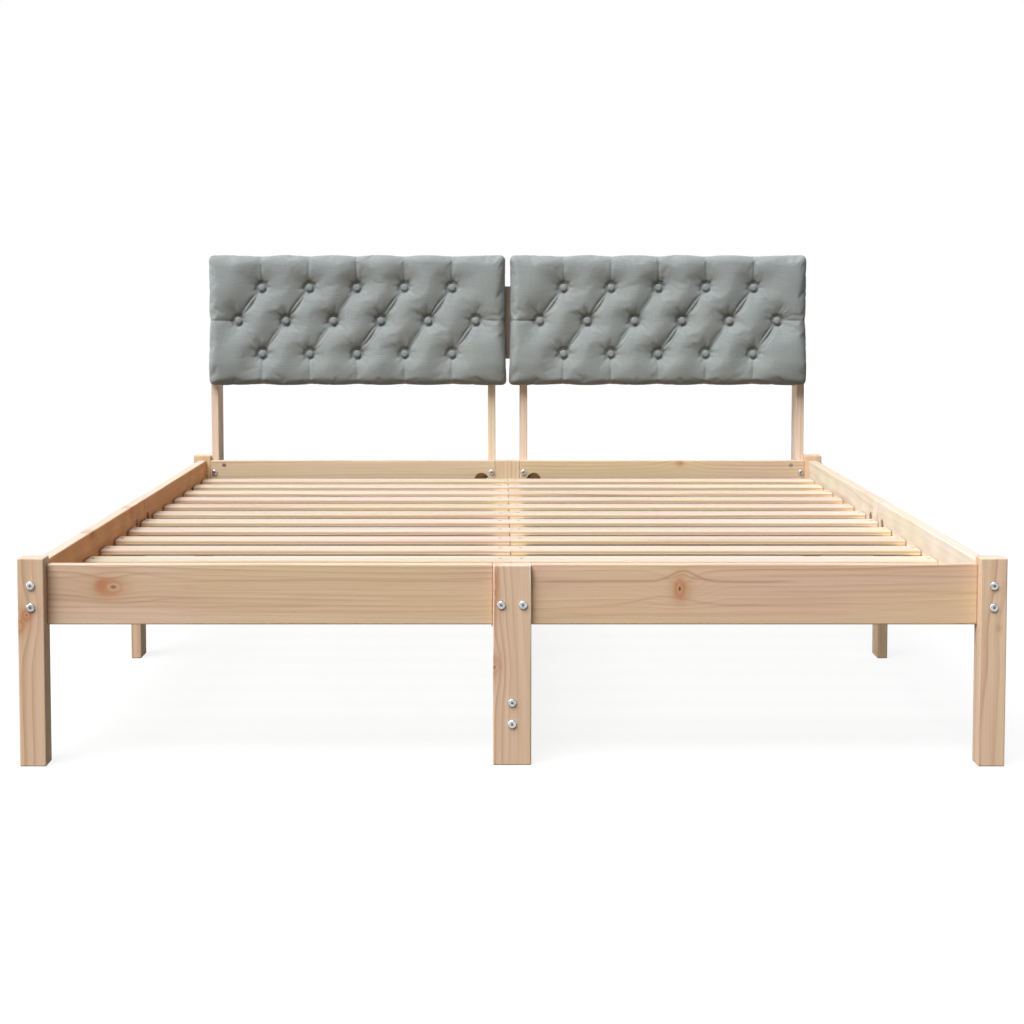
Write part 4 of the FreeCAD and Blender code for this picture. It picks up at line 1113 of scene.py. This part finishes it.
@dataclass
class Tufting:
    """The button pattern of a cushion and the folds between the buttons, in the cushion's own x and z."""

    pitch: float = 0.125
    row: float = 0.087
    half_width: float = 0.392
    half_height: float = 0.171
    pit: Hollow = Hollow(1.0, depth=0.024, deeper=0.0, cusp_share=0.55, cusp_width=0.016, bell_width=0.042)
    blend: float = 3.0
    tuck: Collar = Collar(0.0030, 0.0135, 0.0035)
    gathers: Collar = Collar(0.0009, 0.020, 0.010)
    fans: Collar = Collar(0.0016, 0.030, 0.014)
    lump: float = 0.0007

    PLEATS_UP = (1.0, 0.85, 0.35, 0.9, 1.0)
    PLEATS_DOWN = (0.6, 0.45, 0.95, 0.4, 0.9)
    DARTS_UP = (0.6, 0.6, 1.0, 0.6, 1.0)
    LUMPS = (
        (31.0, 17.0, 0.4),
        (-23.0, 41.0, 1.9),
        (57.0, 38.0, 4.2),
        (-64.0, 29.0, 2.7),
        (12.0, -71.0, 5.1),
    )

    def buttons(self) -> list[Point2]:
        """The buttons' places: five above, six in the middle, five below."""
        five = [(step * self.pitch, self.row) for step in range(-2, 3)]
        six = [((step + 0.5) * self.pitch, 0.0) for step in range(-3, 3)]
        return five + six + [(x, -self.row) for x, _ in five]

    def folds(self) -> list[Fold]:
        """The folds: pleats that rise to the right, valleys that fall to it, and darts to the edges."""
        buttons = self.buttons()
        top, middle, bottom = buttons[:5], buttons[5:11], buttons[11:]
        folds = []
        for i in range(5):
            above, below = (top[i][0], self.half_height), (bottom[i][0], -self.half_height)
            folds += [
                Fold(middle[i], top[i], FoldKind.PLEAT, self.PLEATS_UP[i]),
                Fold(bottom[i], middle[i + 1], FoldKind.PLEAT, self.PLEATS_DOWN[i]),
                Fold(top[i], middle[i + 1], FoldKind.VALLEY),
                Fold(middle[i], bottom[i], FoldKind.VALLEY),
                Fold(top[i], above, FoldKind.DART, self.DARTS_UP[i]),
                Fold(bottom[i], below, FoldKind.DART, 0.5),
            ]
        folds.append(Fold(middle[0], (-self.half_width, 0.0), FoldKind.DART, 0.8))
        folds.append(Fold(middle[-1], (self.half_width, 0.0), FoldKind.DART, 0.5))
        return folds

    def broad(self, x: np.ndarray, z: np.ndarray) -> np.ndarray:
        """How far the broad hollows lie below the crest, before the sharp folds are added."""
        total = np.zeros_like(x)
        for fold in self.folds():
            total += fold.hollow(x, z) ** self.blend
        for bx, bz in self.buttons():
            total += (self.pit.depth * self.pit.across(np.hypot(x - bx, z - bz))) ** self.blend
        return total ** (1.0 / self.blend)

    def sharp(self, x: np.ndarray, z: np.ndarray) -> np.ndarray:
        """How far the sharp folds, pleats and gathers lie below the broad shape."""
        total = np.zeros_like(x)
        for index, fold in enumerate(self.folds()):
            total += fold.crease(x, z, index)
        for index, (bx, bz) in enumerate(self.buttons()):
            off, angle = np.hypot(x - bx, z - bz), np.arctan2(z - bz, x - bx)
            total += self.tuck.at(off)
            gather = np.cos(9.0 * angle + 1.7 * index) * 0.6 + np.cos(5.0 * angle + 2.9 * index) * 0.4
            total += gather * self.gathers.at(off)
            if bz <= 0.0:
                fan = np.cos(6.5 * angle + 2.3 * index) ** 3 * np.clip(np.sin(angle), 0.0, 1.0)
                total += fan * self.fans.at(off)
        return total

    def lumps(self, x: np.ndarray, z: np.ndarray) -> np.ndarray:
        """The slight unevenness of a hand-stuffed pad."""
        return sum(self.lump * np.sin(a * x + b * z + c) for a, b, c in self.LUMPS)


@dataclass
class TuftedCushion:
    """A button-tufted cushion of the headboard, wrapped round the edge of its plywood panel."""

    side: str
    depth: float = 0.060
    cell: float = 0.0046
    roll: float = 0.020
    inner_corner: float = 0.006
    outer_corner: float = 0.012
    rebate_corner: float = 0.004
    back_inset: float = 0.002
    wrap: float = 0.0175
    rebate: float = 0.0125
    back_roll: float = 0.006
    crown: float = 0.004
    sag: float = 0.007
    scallops: Point2 = (0.0052, 0.0036)
    waist: float = 0.0046
    lean: float = 0.0020
    nick: float = 0.0020
    nick_width: float = 0.010
    low_shoulder: float = 0.017
    bulge: float = 0.0012
    stitch_round: float = 0.012
    stitch_width: float = 0.006
    most_swell: float = 0.006
    frames: int = 20
    tufting: Tufting = field(default_factory=Tufting)

    CLOTH = {
        "quality": 6,
        "mass": 0.25,
        "tension_stiffness": 12.0,
        "compression_stiffness": 12.0,
        "shear_stiffness": 4.0,
        "bending_stiffness": 0.4,
        "shrink_min": -0.010,
        "use_pressure": True,
        "uniform_pressure_force": 4.0,
        "vertex_group_mass": "held",
        "pin_stiffness": 1.0,
    }

    def __post_init__(self) -> None:
        """Finds the cushion's place on its panel, and its counts of cells."""
        panel = Box.of("headboard_panel_" + self.side)
        self.middle = (panel.middle[0], panel.high[1], panel.middle[2])
        self.half_width, self.half_height = self.tufting.half_width, self.tufting.half_height
        self.across = 2 * round(self.half_width / self.cell)
        self.up = 2 * round(self.half_height / self.cell)

    @property
    def replaced(self) -> str:
        """The frame node that this cushion replaces."""
        return "headboard_cushion_" + self.side

    def outline(self, inset: float, corner: float) -> np.ndarray:
        """A rounded rectangle round the cushion's face.

        Args:
            inset: How far it lies inside the cushion's edge.
            corner: The radius of its corners.

        Returns:
            Its points as x and z, counter-clockwise from the lower left corner.
        """
        hw, hh = self.half_width - inset, self.half_height - inset
        points = []
        for quarter, steps in enumerate((self.across, self.up) * 2):
            half_run = (hw if quarter % 2 == 0 else hh) - corner
            half_rise = (hh if quarter % 2 == 0 else hw) - corner
            arc = corner * math.pi / 4.0
            total = 2.0 * (half_run + arc)
            turn = quarter * math.pi / 2.0
            for step in range(steps):
                s = step / steps * total - half_run - arc
                bend = max(abs(s) - half_run, 0.0) / corner
                u = math.copysign(min(abs(s), half_run) + corner * math.sin(bend), s)
                v = -half_rise - corner * math.cos(bend)
                x = u * math.cos(turn) - v * math.sin(turn)
                z = u * math.sin(turn) + v * math.cos(turn)
                points.append((x, z))
        return np.array(points)

    def fill(self, loop: np.ndarray) -> np.ndarray:
        """Fills a closed loop with a grid (a Coons patch).

        Args:
            loop: The loop's points, counter-clockwise from the lower left corner.

        Returns:
            The grid's points, one row each, from the lower left one.
        """
        across, up = self.across, self.up
        low = loop[: across + 1]
        right = loop[across : across + up + 1]
        high = loop[across + up : 2 * across + up + 1][::-1]
        left = np.vstack([loop[2 * across + up :], loop[:1]])[::-1]
        s = np.linspace(0.0, 1.0, across + 1)[None, :, None]
        t = np.linspace(0.0, 1.0, up + 1)[:, None, None]
        ruled = (1 - t) * low[None] + t * high[None] + (1 - s) * left[:, None] + s * right[:, None]
        corners = (1 - t) * ((1 - s) * low[0] + s * low[-1]) + t * ((1 - s) * high[0] + s * high[-1])
        return (ruled - corners).reshape(-1, 2)

    def draw_in(self, points: np.ndarray) -> np.ndarray:
        """Draws the outline in at the darts and the waist.

        Args:
            points: The outline's x and z.

        Returns:
            The points, moved.
        """
        moved = points.copy()
        x, z = points[:, 0], points[:, 1]
        last_button = 2.0 * self.tufting.pitch
        lobes = np.abs(np.sin(np.pi * x / self.tufting.pitch))
        ends = np.clip((np.abs(x) - last_button) / (self.half_width - last_button), 0.0, 1.0)
        lobes = np.where(np.abs(x) > last_button, np.sin(ends * np.pi / 2.0), lobes)
        level = np.clip((np.abs(z) / self.half_height - 0.6) / 0.4, 0.0, 1.0)
        upright = np.clip((np.abs(x) / self.half_width - 0.8) / 0.2, 0.0, 1.0)
        rise = np.where(z > 0.0, *self.scallops)
        moved[:, 1] -= np.sign(z) * level * rise * (1.0 - lobes**0.6)
        share = np.clip(z / self.half_height, -1.0, 1.0)
        waist = self.waist * np.cos(share * np.pi / 2.0) ** 0.8 + self.lean * share
        waist += self.nick * cusp(np.abs(z), self.nick_width)
        moved[:, 0] -= np.sign(x) * upright * waist
        return moved

    def face(self, plan: np.ndarray) -> np.ndarray:
        """The depth of the tufted face at each point of its plan."""
        x, z = plan[:, 0], plan[:, 1]
        crest = self.depth - self.crown * (np.abs(x) / self.half_width) ** 4
        crest = crest - self.crown * (np.abs(z) / self.half_height) ** 4
        low = np.clip((-z / self.half_height - 0.62) / 0.26, 0.0, 1.0)
        crest = crest - self.sag * low**2 * (3.0 - 2.0 * low)
        return crest - self.tufting.broad(x, z) + self.tufting.lumps(x, z)

    def shape(self) -> tuple[np.ndarray, list[tuple[int, ...]], np.ndarray]:
        """The cushion's form before the cloth is let go.

        Returns:
            The points in the cushion's own frame (x, depth towards the viewer, z), the faces, and for each
            point how firmly it is held, from 0 to 1.
        """
        inner = self.outline(self.roll, self.inner_corner)
        plan = self.fill(inner)
        front = np.column_stack([plan[:, 0], self.face(plan), plan[:, 1]])
        order = np.arange(len(front)).reshape(self.up + 1, self.across + 1)
        faces = [
            (order[row, column], order[row, column + 1], order[row + 1, column + 1], order[row + 1, column])
            for row in range(self.up)
            for column in range(self.across)
        ]
        rim = np.concatenate([order[0, :-1], order[:-1, -1], order[-1, :0:-1], order[:0:-1, 0]])
        points, held, last, count = [front], [self._stitched(front)], rim, len(front)
        for loop, depth, hold in self._loops(inner, front[rim, 1]):
            points.append(np.column_stack([loop[:, 0], depth, loop[:, 1]]))
            held.append(np.full(len(loop), hold))
            new = np.arange(count, count + len(loop))
            faces += zip(np.roll(last, -1), last, new, np.roll(new, -1))
            last, count = new, count + len(loop)
        faces.append(tuple(last[::-1]))
        return np.vstack(points), faces, np.concatenate(held)

    def _stitched(self, front: np.ndarray) -> np.ndarray:
        """How firmly the buttons and folds hold each point of the face."""
        x, z = front[:, 0], front[:, 2]
        hold = np.zeros(len(front))
        for bx, bz in self.tufting.buttons():
            hold[np.hypot(x - bx, z - bz) < self.stitch_round] = self.tufting.pit.hold
        for fold in self.tufting.folds():
            off = fold.along_and_off(x, z)[1]
            hold = np.maximum(hold, fold.kind.value.hold * bell(off, self.stitch_width))
        return hold

    def _loops(self, inner: np.ndarray, rim_depth: np.ndarray) -> Iterable[Loop]:
        """The loops from the face's rim over the rolled edge and down the side to the rebate for the panel.

        Args:
            inner: The rim of the face.
            rim_depth: The depth of each of its points.

        Yields:
            The plan, the depths, and how firmly the loop is held.
        """
        outer = self.draw_in(self.outline(0.0, self.outer_corner))
        back_edge = self.outline(self.back_inset, self.outer_corner)
        rebate = self.outline(self.wrap, self.rebate_corner)
        low_rim = np.clip((-inner[:, 1] / self.half_height - 0.6) / 0.25, 0.0, 1.0)
        shoulder = self.roll * 0.95 + self.low_shoulder * low_rim
        ones = np.ones(len(inner))
        for step in range(1, 9):
            angle = step / 8 * math.pi / 2
            plan = inner + (outer - inner) * math.sin(angle)
            yield plan, rim_depth - shoulder * (1.0 - math.cos(angle)), 0.0
        for step in range(1, 6):
            share = step / 6
            swell = self.bulge * math.sin(math.pi * share)
            plan = outer * (1.0 + swell / self.half_width) + (back_edge - outer) * share**2
            yield plan, (rim_depth - shoulder) * (1.0 - share) + self.back_roll * share, 0.4 * share
        yield back_edge, ones * self.back_roll, 1.0
        for turn in (math.pi / 6.0, math.pi / 3.0, math.pi / 2.0):
            plan = back_edge + (rebate - back_edge) * (1.0 - math.cos(turn)) * 0.35
            yield plan, ones * (self.back_roll * (1.0 - math.sin(turn))), 1.0
        yield back_edge + (rebate - back_edge) * 0.7, ones * 0.0, 1.0
        for share in (0.0, 0.5, 1.0):
            yield rebate, ones * (self.rebate * share), 1.0

    def let_go(self, piece: bpy.types.Object, hold: np.ndarray) -> None:
        """Lets the cloth swell under the stuffing's pressure, and keeps the result in the mesh.

        Args:
            piece: The cushion.
            hold: How firmly each point is held.
        """
        group = piece.vertex_groups.new(name="held")
        for index, weight in enumerate(hold):
            if weight > 0.01:
                group.add([index], float(weight), "REPLACE")
        before = read_points(piece.data)
        cloth = piece.modifiers.new("cloth", "CLOTH")
        for name, value in self.CLOTH.items():
            setattr(cloth.settings, name, value)
        cloth.settings.effector_weights.gravity = 0.0
        cloth.point_cache.frame_start = 1
        cloth.point_cache.frame_end = self.frames
        for step in range(1, self.frames + 1):
            bpy.context.scene.frame_set(step)
        settled = piece.evaluated_get(bpy.context.evaluated_depsgraph_get())
        move = read_points(settled.to_mesh()) - before
        settled.to_mesh_clear()
        piece.modifiers.remove(cloth)
        bpy.context.scene.frame_set(1)
        length = np.linalg.norm(move, axis=1, keepdims=True)
        move *= self.most_swell * np.tanh(length / self.most_swell) / np.maximum(length, 1e-9)
        write_points(piece.data, before + move)
        LOG.info("%s: cloth moved %.1f mm at most", piece.name, 1000.0 * length.max())

    @staticmethod
    def open_back(mesh: bpy.types.Mesh) -> None:
        """Takes out the one many-sided face that closes the back."""
        with editing(mesh) as bm:
            caps = [face for face in bm.faces if len(face.verts) > 4]
            bmesh.ops.delete(bm, geom=caps, context="FACES_ONLY")

    @staticmethod
    def close_back(mesh: bpy.types.Mesh) -> None:
        """Closes the back again with one flat face, cut into triangles."""
        with editing(mesh) as bm:
            made = bmesh.ops.contextual_create(bm, geom=[edge for edge in bm.edges if edge.is_boundary])
            bmesh.ops.triangulate(bm, faces=made["faces"])
            bmesh.ops.recalc_face_normals(bm, faces=bm.faces)

    def sharpen(self, piece: bpy.types.Object) -> None:
        """Divides the mesh once, then presses the folds, pleats and gathers into the face."""
        self.open_back(piece.data)
        divide = piece.modifiers.new("divide", "SUBSURF")
        divide.levels = divide.render_levels = 1
        graph = bpy.context.evaluated_depsgraph_get()
        dense = bpy.data.meshes.new_from_object(piece.evaluated_get(graph))
        piece.modifiers.remove(divide)
        old, piece.data = piece.data, dense
        bpy.data.meshes.remove(old)
        self.close_back(dense)
        points = read_points(dense)
        normals = np.zeros(points.size)
        dense.vertex_normals.foreach_get("vector", normals)
        normals = normals.reshape(-1, 3)
        facing = np.clip((-normals[:, 1] - 0.05) / 0.5, 0.0, 1.0)
        points -= normals * (self.tufting.sharp(points[:, 0], points[:, 2]) * facing)[:, None]
        write_points(dense, points)
        shade_smooth(dense)

    def build(self, cloth: bpy.types.Material) -> bpy.types.Object:
        """Builds and dresses the cushion.

        Args:
            cloth: The upholstery material.

        Returns:
            The cushion.
        """
        points, faces, hold = self.shape()
        points[:, 1] *= -1.0
        piece = make_mesh("tufted_cushion_" + self.side, points, faces)
        self.let_go(piece, hold)
        self.sharpen(piece)
        piece.data.materials.append(cloth)
        self.settle(piece, (0.0, 0.0, 0.0))
        return piece

    def copy_of(self, piece: bpy.types.Object, other: "TuftedCushion") -> None:
        """Makes this cushion from the finished piece of the other one."""
        self.settle(add_object("tufted_cushion_" + self.side, piece.data.copy()), other.middle)

    def settle(self, piece: bpy.types.Object, start: Point3) -> None:
        write_points(piece.data, read_points(piece.data) - start + self.middle)
        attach(piece, "root")
        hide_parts(self.replaced)
        LOG.info("%s: %d points", piece.name, len(piece.data.vertices))


@dataclass
class CoveredButtons:
    """The cloth-covered buttons, each a dome with a tucked-in rim."""

    cushions: tuple[TuftedCushion, ...]
    base: float = 0.9506
    radius: float = 0.0096
    rise: float = 0.0046
    tuck: float = 0.002
    pucker: float = 0.012
    around: int = 28

    PROFILE = (
        (0.22, 0.985),
        (0.45, 0.93),
        (0.66, 0.82),
        (0.83, 0.64),
        (0.95, 0.42),
        (1.0, 0.2),
        (0.97, 0.0),
    )

    def build(self, cloth: bpy.types.Material) -> None:
        """Builds and dresses the buttons, as one piece of the cloth given."""
        dome, dome_faces = self._dome()
        points, faces = [], []
        for cushion in self.cushions:
            x, _, z = cushion.middle
            for button_x, button_z in cushion.tufting.buttons():
                start = len(points) * len(dome)
                points.append(dome + (x + button_x, self.base, z + button_z))
                faces += [tuple(start + corner for corner in face) for face in dome_faces]
        piece = make_mesh("covered_buttons", np.vstack(points), faces)
        piece.data.materials.append(cloth)
        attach(piece, "root")
        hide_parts("headboard_buttons")
        LOG.info("%s: %d buttons", piece.name, len(points))

    def _dome(self) -> tuple[np.ndarray, list[tuple[int, ...]]]:
        """One button at the origin: its points, from the crown to the back, and its faces."""
        angles = 2.0 * math.pi * np.arange(self.around) / self.around
        rows = [np.array([(0.0, -self.rise, 0.0)])]
        for share, height in self.PROFILE:
            reach = share * self.radius * (1.0 + self.pucker * share * np.cos(7.0 * angles))
            level = np.full(self.around, -self.rise * height)
            rows.append(np.column_stack([reach * np.cos(angles), level, reach * np.sin(angles)]))
        rows.append(np.array([(0.0, self.tuck, 0.0)]))
        back = 1 + len(self.PROFILE) * self.around
        edge = back - self.around
        faces = []
        for step in range(self.around):
            after = (step + 1) % self.around
            faces.append((0, 1 + step, 1 + after))
            for low in range(1, edge, self.around):
                high = low + self.around
                faces.append((low + step, high + step, high + after, low + after))
            faces.append((edge + step, back, edge + after))
        return np.vstack(rows), faces


@dataclass
class Headboard:
    """The two cushions and their buttons."""

    weave: Weave = Weave()
    sides: tuple[str, str] = ("left", "right")

    def build(self) -> None:
        """Builds one cushion, copies it to the other side, and sets the buttons."""
        cloth = self.weave.material("grey_weave")
        left, right = (TuftedCushion(side) for side in self.sides)
        right.copy_of(left.build(cloth), left)
        CoveredButtons((left, right)).build(cloth)


@dataclass(frozen=True)
class Lamp:
    """A wide, far lamp: the direction in which it hangs, its strength, and how wide it looks in degrees."""

    name: str
    toward: Point3
    strength: float
    spread: float
    distance: float = 9.0

    def hang(self) -> None:
        """Hangs the lamp over the bed."""
        lamp = bpy.data.lights.new(self.name, "SUN")
        lamp.energy = self.strength
        lamp.angle = math.radians(self.spread)
        shown = add_object(self.name, lamp)
        shown.location = Vector(self.toward) * self.distance
        shown.rotation_euler = Vector(self.toward).to_track_quat("Z", "Y").to_euler()


@dataclass
class Studio:
    """The floor, the lamps, the sky and the camera."""

    lamps: tuple[Lamp, ...] = (
        Lamp("key_lamp", (-0.30, -0.50, 0.81), 4.0, 42.0),
        Lamp("side_lamp", (-0.95, -0.08, 0.30), 1.35, 42.0),
        Lamp("back_lamp", (-0.05, 0.75, 0.66), 0.95, 75.0),
    )
    floor_half: float = 14.0
    paper: tuple[Colour, Colour] = ((0.17, 0.16, 0.145), (0.19, 0.18, 0.165))
    floor_white: float = 0.86
    sky_tint: Colour = (1.0, 0.93, 0.84)
    sky_light: float = 0.025
    lens: float = 73.82
    sensor: float = 36.0
    camera_place: Point3 = (-0.02146, -4.58974, 0.82564)
    camera_pitch: float = 4.0
    shift: Point2 = (0.0122, -0.085)
    sight: float = 100.0

    def build(self) -> None:
        """Sets up everything round the bed."""
        self._floor()
        self._sky()
        for lamp in self.lamps:
            lamp.hang()
        self._camera()
        bpy.context.scene.view_settings.view_transform = "Standard"

    def _floor(self) -> None:
        """Lays a pale floor that shows as white and keeps a soft shadow."""
        mesh = bpy.data.meshes.new("studio_floor")
        with editing(mesh) as bm:
            bmesh.ops.create_grid(bm, x_segments=8, y_segments=8, size=self.floor_half)
        r = Recipe.of_material("floor_paper")
        paper = r.mix(r.noise(r.place(), (2.0, 2.0, 1.0)), *self.paper)
        seen = r.seen()
        matt = r.node("ShaderNodeBsdfDiffuse", sockets={"Color": r.mix(seen, paper, WHITE)})
        white = r.node("ShaderNodeEmission", sockets={"Color": WHITE, "Strength": 1.0})
        mixed = r.node("ShaderNodeMixShader", sockets={0: seen * self.floor_white, 1: matt, 2: white})
        mesh.materials.append(r.output(mixed))
        add_object("studio_floor", mesh)

    def _sky(self) -> None:
        """Makes the sky white to look at, and soft as a light."""
        world = bpy.data.worlds.new("studio")
        bpy.context.scene.world = world
        r = Recipe(world)
        light = r.node("ShaderNodeBackground", sockets={"Color": self.sky_tint, "Strength": self.sky_light})
        white = r.node("ShaderNodeBackground", sockets={"Color": WHITE, "Strength": 1.0})
        r.output(r.node("ShaderNodeMixShader", sockets={0: r.seen(), 1: light, 2: white}))

    def _camera(self) -> None:
        """Sets up the camera."""
        camera = bpy.data.cameras.new("camera")
        camera.lens = self.lens
        camera.sensor_width = self.sensor
        camera.shift_x, camera.shift_y = self.shift
        camera.clip_end = self.sight
        shown = add_object("camera", camera)
        shown.location = self.camera_place
        shown.rotation_euler = (math.radians(90.0 - self.camera_pitch), 0.0, 0.0)
        bpy.context.scene.camera = shown


def write_sizes() -> None:
    """Brings the view layer up to date."""
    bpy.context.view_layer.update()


def main() -> None:
    """Dresses the bed, sub-assembly by sub-assembly, and sets up the studio."""
    logging.basicConfig(level=logging.INFO, format="%(name)s: %(message)s")
    for part in (Ends(), Sides(), SlatDeck(), CenterSupport(), HeadboardWood(), Fasteners()):
        part.dress()
        LOG.info("%s dressed", type(part).__name__)
    Headboard().build()
    Studio().build()
    write_sizes()


if __name__ == "__main__":
    main()
